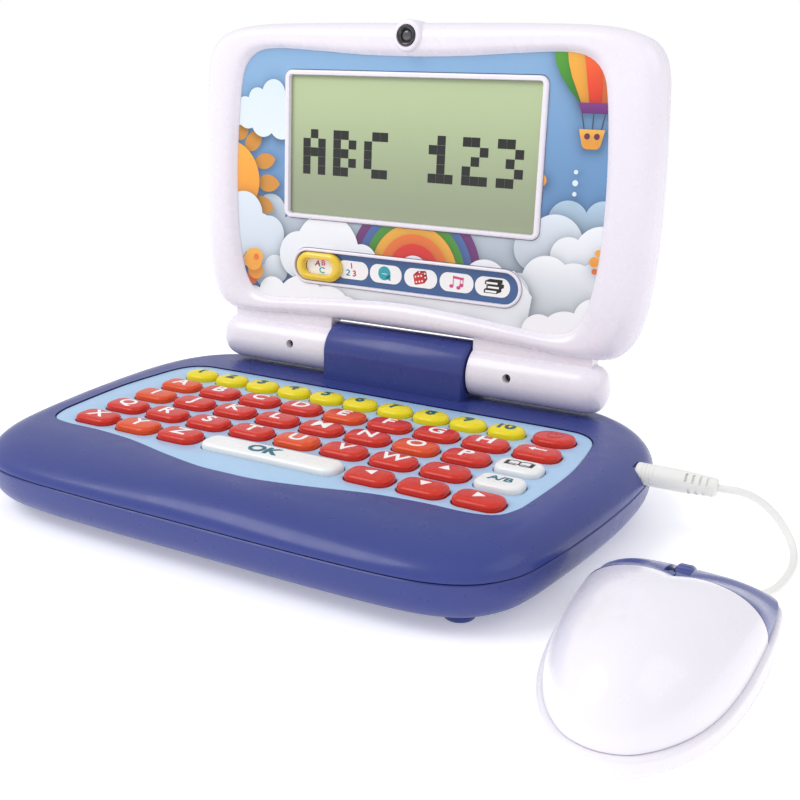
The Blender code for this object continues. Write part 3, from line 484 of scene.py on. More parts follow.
def make_plug():
    rows = [(101.6, 0.6), (102.1, 1.3), (103.0, 1.75), (114.7, 1.75), (114.9, 3.3), (115.1, 3.65),
            (115.5, 3.9), (116.2, 3.95)]
    for start in (117.2, 118.6, 120.0, 121.4):
        rows += [(start, 3.95), (start + 0.12, 3.72), (start + 0.42, 3.72), (start + 0.54, 3.95)]
    rows += [(124, 3.95), (131, 3.95), (133, 3.9), (136, 3.72), (139, 3.55), (142.2, 3.4), (143.1, 3.2),
             (143.5, 2.8), (143.6, 2.3)]
    plug = piece("cord_plug", turned(rows, 64), "base", CORD_WHITE,
                 LAPTOP @ moved(0, *PLUG_PLACE) @ ALONG_X, ["mouse_plug"], 30)
    slots = bmesh.new()
    for row in range(4):
        turn = Matrix.Rotation(math.radians(45 + 90 * row), 4, "Z")
        one = bmesh.new()
        for index in range(4):
            start = 132.6 + 2.5 * index + (1.25 if row % 2 else 0)
            shape = raised(rounded(1.0, 3.6, 0.45, steps=4), 0)
            shape = np.column_stack([shape[:, 0] + start + 0.5, shape[:, 1]])
            rows = [np.column_stack([np.full(len(shape), x), shape[:, 1], shape[:, 0]]) for x in (2.75, 6)]
            loft(rows, into=one)
        one.transform(turn)
        mesh = bpy.data.meshes.new("slots")
        one.to_mesh(mesh)
        one.free()
        slots.from_mesh(mesh)
        bpy.data.meshes.remove(mesh)
    return cut(plug, [slots], 30)


def tube(path, radius, sides=20):
    """A round tube along a path, with its rings kept from twisting."""
    tangents = np.gradient(path, axis=0)
    tangents /= np.linalg.norm(tangents, axis=1)[:, None]
    side = np.cross(tangents[0], (0, 0, 1.0))
    rows = []
    turn = 2 * np.pi * np.arange(sides) / sides
    for point, tangent in zip(path, tangents):
        side = side - tangent * np.dot(side, tangent)
        side /= np.linalg.norm(side)
        over = np.cross(tangent, side)
        rows.append(point + radius * (np.cos(turn)[:, None] * side + np.sin(turn)[:, None] * over))
    return loft(rows)


plug = make_plug()
path = smooth([(142.4, 28.0, 22.8), *CORD_ROUTE, (148.5, -20.4, 7.0)], 170, closed=False)
cord = piece("mouse_lead", tube(path, CORD_RADIUS), None, CORD_WHITE, LAPTOP, ["mouse_cord"])
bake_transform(cord)
piece("cord_collar", turned([(-0.8, 2.2), (-0.3, 2.75), (0.6, 2.7), (1.2, 2.3), (1.4, 1.6)], 32), "mouse",
      MOUSE_WHITE, LAPTOP @ moved(148.5, -18.9, 7.0) @ ALONG_Y)

# ---------------------------------------------------------------- base
GAP = 0.3
SEAM_Z = 18.5
DECK_Z = 28.9
PANEL_TOP = 28.5
LEDGE_Z = PANEL_TOP - 2.0 - GAP
WALL = 2.4
base_loop, deck_loop, panel_loop = mirrored(BASE_OUTLINE), mirrored(DECK_OUTLINE), mirrored(PANEL_OUTLINE)


def base_row(angle, wall=0.0):
    """The loop at an angle round the base's edge: 0 at the seam, 90 on the deck."""
    turn = math.radians(angle)
    loop = inset_loop(base_loop + (deck_loop - base_loop) * (1 - math.cos(turn)), wall * math.cos(turn))
    return raised(loop, SEAM_Z + GAP / 2 + (DECK_Z - SEAM_Z - GAP / 2 - wall) * math.sin(turn))


def make_base():
    recess = inset_loop(panel_loop, -GAP)
    rows = [raised(inset_loop(base_loop, 0.35), SEAM_Z + 0.15)]
    rows += [base_row(angle) for angle in np.linspace(1.6, 90, 18)]
    rows += [raised(inset_loop(recess, inset - 0.6), DECK_Z - drop) for inset, drop in soft_edge(0.6)]
    ledge = inset_loop(panel_loop, 0.7)
    rows += [raised(recess, LEDGE_Z), raised(ledge, LEDGE_Z), raised(ledge, LEDGE_Z - 2),
             raised(inset_loop(deck_loop, 1.5), DECK_Z - WALL - 0.5)]
    rows += [base_row(angle, WALL) for angle in (60, 40, 20, 0)]
    shell = piece("base_top", loft(rows, ring=True), "base", BLUE, LAPTOP, ["base_top_shell"])
    hole = turned([(114.0, 4.4), (125, 4.4)], 40)
    hole.transform(Matrix.Translation((0, *PLUG_PLACE)) @ ALONG_X)
    cut(shell, [hole])

    half, radius = 33.1, 12.3
    turns = np.linspace(np.pi, 0, 37)
    side = [(HINGE_Y - radius, 27.0)] + [(HINGE_Y + radius * math.cos(t), HINGE_Z + radius * math.sin(t))
                                        for t in turns] + [(HINGE_Y + radius, 27.0)]
    side = np.array(side)
    rows = []
    for x, inset in [(half, 0.9), (half - 0.15, 0.45), (half - 0.45, 0.15), (half - 0.9, 0)]:
        rows.append((x, inset))
    rows += [(-x, inset) for x, inset in reversed(rows)]
    made = []
    for x, inset in rows:
        loop = inset_loop(side, inset)
        loop[0], loop[-1] = (side[0][0] + inset, 27.0), (side[-1][0] - inset, 27.0)
        made.append(np.column_stack([np.full(len(loop), x), loop]))
    piece("hinge_barrel", loft(made), "base", BLUE, LAPTOP)


def make_bottom():
    floor_z, inner_z = 3.6, 5.9
    rows = [(14, inner_z), (8.2, 7.0), (3.6, 10.4), (WALL, SEAM_Z - 0.15), (0.35, SEAM_Z - 0.15),
            (0, SEAM_Z - 0.5)]
    profile = smooth([rows[-1], (0.2, 14.6), (1.2, 10.2), (3.8, 6.4), (8.5, 4.1), (14, floor_z)], 16, False)
    rows += [tuple(pair) for pair in profile[1:]]
    outer = [raised(inset_loop(base_loop, inset), z) for inset, z in reversed(rows)]
    through = [[raised(rounded(62.6, 52.6, 4, (-32, 2)), z) for z in (floor_z, inner_z)]]
    for step in range(3):
        for index in range(6 * step or 1):
            turn = 2 * math.pi * index / max(6 * step, 1)
            centre = (55 + 4.2 * step * math.cos(turn), -12 + 4.2 * step * math.sin(turn))
            through.append([raised(circle(0.95, centre, 14), z) for z in (floor_z, inner_z)])
    screws = [(75, -30), (-75, -30), (75, 28), (-75, 28), (0, -45), (0, 34)]
    for centre in screws:
        through.append([raised(circle(r, centre, 24), z) for r, z in ((3.3, floor_z), (3.0, floor_z + 0.3),
                                                                    (3.0, inner_z))])
    piece("base_bottom", plate(outer, through), "base", BLUE, LAPTOP, ["base_bottom_shell"])
    feet = bmesh.new()
    for centre in [(88, -61), (-88, -61), (90, 58), (-90, 58)]:
        turned([(0, 4.2), (0.12, 4.7), (0.5, 5.1), (1.2, 5.4), (2.6, 5.6), (5.6, 5.9)], 40, feet, centre)
    piece("feet", feet, "base", BLUE, LAPTOP)
    heads = bmesh.new()
    cross = np.array([(-0.35, 1.5), (0.35, 1.5), (0.35, 0.35), (1.5, 0.35), (1.5, -0.35), (0.35, -0.35),
                      (0.35, -1.5), (-0.35, -1.5), (-0.35, -0.35), (-1.5, -0.35), (-1.5, 0.35),
                      (-0.35, 0.35)])
    for centre in screws:
        edge = [raised(circle(r, centre, 24), z) for r, z in ((2.2, 4.9), (2.6, 5.1), (2.7, 5.6), (2.7, 7.0))]
        dent = [raised(cross + centre, z) for z in (4.9, 5.8)]
        plate(edge, (), [dent], heads)
    piece("bottom_screws", heads, "base", STEEL, LAPTOP)

    edge = [raised(inset_loop(rounded(62, 52, 3.7, (-32, 2))[::-1], i), 3.7 + d) for i, d in soft_edge(0.6)]
    edge += [raised(rounded(62, 52, 3.7, (-32, 2))[::-1], 6.2)]
    ridges = [[raised(inset_loop(stadium(20, 1.5, (-32, -14 + 2.6 * k), 5)[::-1], i), z)
               for i, z in ((0, 3.7), (0.35, 4.3))] for k in range(5)]
    ridges.append([raised(circle(r, (-32, 22), 28), z) for r, z in ((3.2, 3.7), (2.9, 4.0), (2.9, 4.9))])
    piece("battery_cover", plate(edge, (), ridges), "base", DOOR, LAPTOP, ["battery_door"])
    one = plate([raised(circle(r, (-32, 22), 24), z) for r, z in ((2.0, 4.3), (2.5, 4.45), (2.6, 5.2))], (),
                [[raised(cross + (-32, 22), z) for z in (4.3, 4.9)]])
    piece("cover_screw", one, "base", STEEL, LAPTOP)


make_base()
make_bottom()

# ---------------------------------------------------------------- keyboard
KEY_SIZE = (17.0, 11.2)
KEY_CORNER = 4.2
NUMBER_SIZE = (14.4, 11.4)
NUMBER_CORNER = 5.4
POWER_SIZE = (16.0, 12.6)
BAR_SIZE = (56.5, 11.2)
FLANGE_Z = 24.6
VOWELS = "aeiouy"


def key_box(node):
    """A key's centre in the laptop's axes, from the frame."""
    low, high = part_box(node)
    return (LAPTOP.inverted() @ ((low + high) / 2)) / MM


numbers = [(-78.65 + 15.93 * index, 26.8) for index in range(10)]
key_nodes = sorted(node for node in frame["nodes"] if node.startswith("key_")
                   and node not in ("key_membrane", "key_number_strip"))


def key_shape(node):
    """A key's size and corner radius."""
    if node == "key_ok":
        return BAR_SIZE, KEY_CORNER
    if node == "key_power":
        return POWER_SIZE, 5.9
    return KEY_SIZE, KEY_CORNER


def make_panel():
    edge = [raised(inset_loop(panel_loop, inset), PANEL_TOP - drop) for inset, drop in soft_edge(0.35, 3)]
    edge.append(raised(panel_loop, PANEL_TOP - 2))
    lip = [(-0.3, 0.0), (-0.12, 0.06), (-0.03, 0.16), (0, 0.34), (0, 2.0)]
    holes = []
    for node in key_nodes:
        (width, depth), corner = key_shape(node)
        centre = key_box(node)[:2]
        holes.append([raised(rounded(width + 0.9 - 2 * i, depth + 0.9 - 2 * i, corner + 0.45 - i, centre),
                             PANEL_TOP - z) for i, z in lip])
    for centre in numbers:
        holes.append([raised(rounded(NUMBER_SIZE[0] + 0.6 - 2 * i * 0.8, NUMBER_SIZE[1] + 0.6 - 2 * i,
                                     NUMBER_CORNER + 0.3 - i * 0.8, centre), PANEL_TOP - z) for i, z in lip])
    piece("panel_plate", plate(edge, holes), "base", PANEL, LAPTOP, ["keyboard_panel"])


def key_top(size, edge_z, dome, rim):
    """Height of a key's slightly domed top."""
    half_x, half_y = size[0] / 2 - rim, size[1] / 2 - rim

    def height(x, y):
        return edge_z + dome * (1 - (x / half_x) ** 2) * (1 - (y / half_y) ** 2)
    return height


def cap(size, corner, shoulder_z, edge_z, dome, rim, flange=0.55, centre=(0, 0), into=None):
    """A key with straight sides, a round shoulder and a slightly domed top."""
    top = key_top(size, edge_z, dome, rim)
    rows = []
    step_z = LEDGE_Z - 0.2
    for inset, z in [(-flange, FLANGE_Z), (-flange, step_z), (0, step_z), (0, shoulder_z - 0.6)]:
        rows.append(raised(rounded(size[0] - 2 * inset, size[1] - 2 * inset, corner - inset), z))
    for turn in np.linspace(0, np.pi / 2, 8):
        inset = rim * (1 - math.cos(turn))
        loop = rounded(size[0] - 2 * inset, size[1] - 2 * inset, max(corner - inset, 0.8))
        lifted = top(loop[:, 0], loop[:, 1]) - edge_z if turn > 1.5 else 0.0
        rows.append(raised(loop, shoulder_z + (edge_z - shoulder_z) * math.sin(turn) + lifted))
    last = rows[-1][:, :2]
    for share in (0.82, 0.62, 0.42, 0.22, 0.06):
        loop = last * share
        rows.append(raised(loop, top(loop[:, 0], loop[:, 1])))
    for row in rows:
        row[:, :2] += centre
    return loft(rows, into=into)


def book_icon():
    """An open book: two page outlines with thick sides."""
    shape = bmesh.new()
    for side in (-1, 1):
        top = smooth([(0, 1.4), (side * 1.4, 1.95), (side * 3.0, 2.0), (side * 4.2, 1.7)], 9, False)
        low = smooth([(side * 4.2, -1.7), (side * 3.0, -1.35), (side * 1.4, -1.4), (0, -1.95)], 9, False)
        loop = np.vstack([top, low])
        inner = (loop - (side * 2.1, 0)) * (0.86, 0.82) + (side * 2.1, 0)
        rows = [raised(loop, 1), raised(inner, 1), raised(inner, -1), raised(loop, -1)]
        loft(rows, ring=True, into=shape)
        block = np.array([(side * 4.2, 1.7), (side * 5.2, 1.5), (side * 5.2, -2.2), (side * 0.6, -2.5),
                          (side * 0.6, -2.15), (side * 4.2, -1.85)])
        flat(block, -1, 1, shape)
    return shape


def arrow_icon(turn_deg):
    shape = flat(np.array([(-2.1, -1.7), (2.1, -1.7), (0, 2.0)]), -1, 1)
    shape.transform(Matrix.Rotation(math.radians(turn_deg), 4, "Z"))
    return shape


def back_icon():
    shape = flat(np.array([(-3.6, 0), (-1.3, 1.6), (-1.3, -1.6)]), -1, 1)
    return flat(np.array([(-1.3, -0.4), (-1.3, 0.4), (3.4, 0.4), (3.4, -0.4)]), -1, 1, shape)


def power_icon():
    """A ring open at the top with a bar through the opening."""
    turns = np.radians(np.linspace(125, 415, 30))
    outer = np.column_stack([np.cos(turns), np.sin(turns)])
    shape = bmesh.new()
    rows = [raised(outer * radius, z) for radius, z in ((3.0, 1), (2.35, 1), (2.35, -1), (3.0, -1))]
    made = [[shape.verts.new(point) for point in row] for row in rows]
    for a, b in zip(made, made[1:] + made[:1]):
        for index in range(len(a) - 1):
            shape.faces.new([a[index], a[index + 1], b[index + 1], b[index]])
    shape.faces.new([row[0] for row in made])
    shape.faces.new([row[-1] for row in made][::-1])
    return flat(np.array([(-0.33, 0.6), (0.33, 0.6), (0.33, 3.5), (-0.33, 3.5)]), -1, 1, shape)


def make_keys():
    icons = {"key_up_arrow": lambda: arrow_icon(0), "key_down_arrow": lambda: arrow_icon(180),
             "key_left_arrow": lambda: arrow_icon(90), "key_right_arrow": lambda: arrow_icon(-90),
             "key_back_arrow": back_icon, "key_book": book_icon, "key_power": power_icon,
             "key_ok": lambda: letters("OK", 5.8, 1.1, 0.4),
             "key_language": lambda: letters("A/B", 3.6, 1.15, 0.2)}
    inks = {"key_book": INK, "key_power": EMBOSS, "key_ok": TEAL, "key_language": TEAL}
    for node in key_nodes:
        short = node[4:]
        size, corner = key_shape(node)
        white = node in ("key_book", "key_language", "key_ok")
        vowel = short in VOWELS
        surface = KEY_WHITE if white else ORANGE if vowel else RED
        x, y, _ = key_box(node)
        at = LAPTOP @ moved(x, y, 0)
        edge_z, dome, rim = 30.95, 0.16, 2.0
        body = cap(size, corner, 29.5, edge_z, dome, rim)
        piece(f"cap_{short}", body, node, surface, at, [node], 50)
        shape = icons[node]() if node in icons else letters(short.upper(), 6.1, 1.14, 0.2)
        shift = (-2.3, -0.4) if node == "key_ok" else (0, 0.4)
        drape(shape, key_top(size, edge_z, dome, rim), shift)
        piece(f"legend_{short}", shape, node, inks.get(node, LEGEND_WHITE), at)

    strip = boxes([((numbers[0][0] - 7, 22.3, FLANGE_Z), (numbers[-1][0] + 7, 31.3, LEDGE_Z - 0.1))])
    top = key_top(NUMBER_SIZE, 31.3, 0.5, 2.6)
    for centre in numbers:
        cap(NUMBER_SIZE, NUMBER_CORNER, 29.6, 31.3, 0.5, 2.6, 0.0, centre, strip)
    piece("number_caps", strip, "key_number_strip", YELLOW, LAPTOP, ["key_number_strip"], 50)
    for index, centre in enumerate(numbers):
        shape = drape(letters(str(index + 1), 5.3, 1.15, 0.4), top, (0, 0.4))
        piece(f"legend_number_{index + 1}", shape, "key_number_strip", DEEP_TEAL, LAPTOP @ moved(*centre, 0))


make_panel()
make_keys()

# ---------------------------------------------------------------- lid
RIM_PROFILE = [(0.0, -1.0), (0.09, 3.0), (0.28, 6.2), (0.58, 7.2), (0.84, 6.3), (1.0, 4.2)]
LID_SEAM_N = -4.0
ART_TOP_N = 3.7
SCREEN_V = 87.0
FRAME_SIZE = (118.5, 61.6)
SCREEN_SIZE = (113.7, 57.4)
TRACK_CENTRE = (-0.6, 36.0)
TRACK_SIZE = (108.4, 15.4)
LENS_V = 131.4
lid_loop, art_loop = mirrored(LID_OUTLINE), mirrored(ART_OUTLINE)


def make_lid():
    recess = inset_loop(art_loop, -GAP)
    ledge_n = ART_TOP_N - 1.4 - GAP
    rows = [raised(inset_loop(lid_loop, inset), LID_SEAM_N + rise) for inset, rise in ((0.7, 0), (0.3, 0.4))]
    for share, n in smooth(RIM_PROFILE, 26, closed=False):
        rows.append(raised(lid_loop + (recess - lid_loop) * share, n))
    rows += [raised(inset_loop(recess, 0.25), 3.8), raised(inset_loop(recess, 0.3), ledge_n)]
    ledge = inset_loop(art_loop, 3)
    rows += [raised(ledge, ledge_n), raised(ledge, ledge_n - 1.8),
             raised(inset_loop(art_loop, -1.5), ledge_n - 1.4), raised((lid_loop + recess) / 2, 4.6),
             raised(inset_loop(lid_loop, WALL + 0.3), 1.0), raised(inset_loop(lid_loop, WALL), LID_SEAM_N)]
    piece("lid_front", loft(rows, ring=True), "lid", WHITE, FACE, ["lid_front_shell"])

    seam = LID_SEAM_N - GAP
    inner = [(14, -13.0), (8.4, -12.2), (4.8, -10.2), (WALL, seam), (0.7, seam), (0.3, seam - 0.4)]
    outer = smooth([(0.3, seam - 0.4), (0.4, seam - 4), (2.4, -12.0), (7, -14.4), (14, -15.2)], 16, False)
    rows = [raised(inset_loop(lid_loop, inset), n) for inset, n in [*inner, *outer[1:]]]
    wells = []
    for x, v in [(-80, 34), (80, 34), (-78, 112), (78, 112)]:
        wells.append([raised(circle(radius, (x, v), 24), n)
                      for radius, n in ((3.2, -15.2), (2.9, -14.9), (2.9, -14.0))])
    piece("lid_back", plate(rows[::-1], (), wells), "lid", WHITE, FACE, ["lid_rear_shell"])

    for side, word in ((-1, "left"), (1, "right")):
        shape = smooth([(34.1, 10.2), (60, 10.2), (80, 10.2), (84, 9.95), (87.5, 8.9), (89.8, 6.6),
                        (91.0, 3.0)], 40, False)
        profile = [(33.8, 9.5), (33.87, 9.9), *[tuple(pair) for pair in shape], (91.05, 1.0)]
        roll = turned([(side * x, radius) for x, radius in profile], 72)
        made = piece(f"hinge_roll_{word}", roll, "lid", WHITE, FACE @ ALONG_X)
        hole = flat(circle(1.8, (0, 0), 24), -5, 5)
        hole.transform(Matrix.Translation((-10.5, 1.2, side * 52)) @ ALONG_X.inverted())
        cut(made, [hole])
        low, high = sorted((side * 34.1, side * 85.0))
        web = boxes([((low, 5.0, LID_SEAM_N + 0.4), (high, 16.0, 4.2))])
        piece(f"hinge_web_{word}", web, "lid", WHITE, FACE)
        screw = turned([(4.6, 1.7), (6.6, 1.7), (6.9, 1.3)], 24)
        piece(f"hinge_screw_{word}", screw, "lid", LENS_BLACK, FACE @ moved(side * 52, 1.2, 0))

    boss = turned([(-2.5, 6.3), (6.6, 6.2), (7.6, 6.0), (8.1, 5.6), (8.3, 5.0), (8.3, 4.3), (8.1, 4.15),
                   (5.0, 4.15)], 64)
    piece("lens_surround", boss, "lid", WHITE, FACE @ moved(0, LENS_V, 0))
    profile = ((1.9, 4.0), (8.4, 4.0), (8.7, 3.85), (8.8, 3.5), (8.7, 3.1), (8.1, 2.5), (7.5, 2.2),
               (1.9, 2.2))
    ring = loft([raised(circle(radius, (0, 0), 64), n) for n, radius in profile], ring=True)
    piece("lens_ring", ring, "lid", LENS_BLACK, FACE @ moved(0, LENS_V, 0), ["camera_lens"])
    dome = turned([(3.0, 2.25), (7.4, 2.25), (7.8, 1.9), (8.05, 1.2), (8.15, 0.5)], 48)
    piece("lens_glass", dome, "lid", LENS_GLASS, FACE @ moved(0, LENS_V, 0))


def make_screen():
    place = (0, SCREEN_V)
    rows = [(FRAME_SIZE, 3.5, 0.3), (FRAME_SIZE, 3.5, 3.9)]
    made = [raised(rounded(*size, corner, place), n) for size, corner, n in rows]
    for inset, drop in reversed(soft_edge(0.9)):
        made.append(raised(trimmed(FRAME_SIZE, inset, 3.5, place), 4.9 - drop))
    for inset, n in [(0.0, 4.72), (0.12, 4.4), (0.3, 3.4), (0.3, 0.3)]:
        made.append(raised(trimmed((SCREEN_SIZE[0] + 0.6, SCREEN_SIZE[1] + 0.6), inset, 1.5, place), n))
    piece("screen_surround", loft(made, ring=True), "lid", WHITE, FACE, ["screen_frame"])
    size = (SCREEN_SIZE[0] - 0.1, SCREEN_SIZE[1] - 0.1)
    glass = [raised(rounded(*size, 1.1, place), n) for n in (-0.7, 3.0)]
    piece("screen_glass", loft(glass), "lid", screen_material(), FACE, ["lcd_screen"])

    glyphs = {"A": "010 101 111 101 101", "B": "110 101 110 101 110", "C": "011 100 100 100 011",
              "1": "010 110 010 010 111", "2": "110 001 010 100 111", "3": "110 001 010 001 110"}
    pitch, text, lit = 3.75, "ABC 123", []
    left = -(4 * len(text) - 1) * pitch / 2
    for index, character in enumerate(text):
        for row, bits in enumerate(glyphs.get(character, "").split()):
            for column, bit in enumerate(bits):
                if bit == "1":
                    x = left + (4 * index + column) * pitch
                    v = SCREEN_V - 2.5 + (2.5 - row) * pitch
                    lit.append(((x + 0.04, v - pitch + 0.04, 2.9), (x + pitch - 0.04, v - 0.04, 3.05)))
    piece("screen_text", boxes(lit), "lid", PIXEL, FACE)


def screen_material():
    """Grey-green display: paler at the top, with a shadow along its top and left edges."""
    made = plastic("display_green", linear(180, 196, 150), 0.22, 0.6, mottle=0.03)
    nodes, links = made.node_tree.nodes, made.node_tree.links
    shader = nodes["Principled BSDF"]
    place = next(node for node in nodes if node.type == "TEX_COORD")
    axes = nodes.new("ShaderNodeSeparateXYZ")
    links.new(place.outputs["Object"], axes.inputs["Vector"])

    def ramp(source, low, high, to_low, to_high):
        node = nodes.new("ShaderNodeMapRange")
        node.interpolation_type = "SMOOTHSTEP"
        for socket, value in (("From Min", low), ("From Max", high), ("To Min", to_low), ("To Max", to_high)):
            node.inputs[socket].default_value = value
        links.new(source, node.inputs["Value"])
        return node.outputs["Result"]

    upward = ramp(axes.outputs["Y"], 0.058, 0.112, 0, 1)
    mix = nodes.new("ShaderNodeMix")
    mix.data_type = "RGBA"
    mix.inputs["A"].default_value = (*linear(150, 162, 130), 1)
    mix.inputs["B"].default_value = (*linear(186, 203, 156), 1)
    links.new(upward, mix.inputs["Factor"])
    shadow = nodes.new("ShaderNodeMath")
    shadow.operation = "MULTIPLY"
    half_x, top = SCREEN_SIZE[0] / 2 * MM, (SCREEN_V + SCREEN_SIZE[1] / 2) * MM
    links.new(ramp(axes.outputs["X"], -half_x, -half_x + 0.0022, 0.62, 1), shadow.inputs[0])
    links.new(ramp(axes.outputs["Y"], top - 0.0022, top, 1, 0.58), shadow.inputs[1])
    dark = nodes.new("ShaderNodeMix")
    dark.data_type = "RGBA"
    dark.blend_type = "MULTIPLY"
    dark.inputs["Factor"].default_value = 1
    links.new(mix.outputs["Result"], dark.inputs["A"])
    grey = nodes.new("ShaderNodeCombineColor")
    for channel in ("Red", "Green", "Blue"):
        links.new(shadow.outputs["Value"], grey.inputs[channel])
    links.new(grey.outputs["Color"], dark.inputs["B"])
    links.new(dark.outputs["Result"], shader.inputs["Base Color"])
    return made


make_lid()
make_screen()

# ---------------------------------------------------------------- picture on the lid
# Each layer is shapes, two colours from its top to its bottom, the heights they belong to, and its shadow.
SKY = ((140, 181, 219), (96, 142, 190))
RAINBOW = (5.0, 38.0)


def discs(*facts):
    """Discs from (x, v, radius)."""
    return [("disc", *fact) for fact in facts]


def petals(*facts):
    """Overlaps of two discs, from (x, v, length, width, turn in degrees)."""
    made = []
    for x, v, length, width, turn_deg in facts:
        radius = (length ** 2 + width ** 2) / (4 * width)
        shift, turn = radius - width / 2, math.radians(turn_deg)
        made.append(("petal", x, v, radius, -shift * math.sin(turn), shift * math.cos(turn)))
    return made


def polys(*loops):
    return [("poly", np.array(loop, float)) for loop in loops]


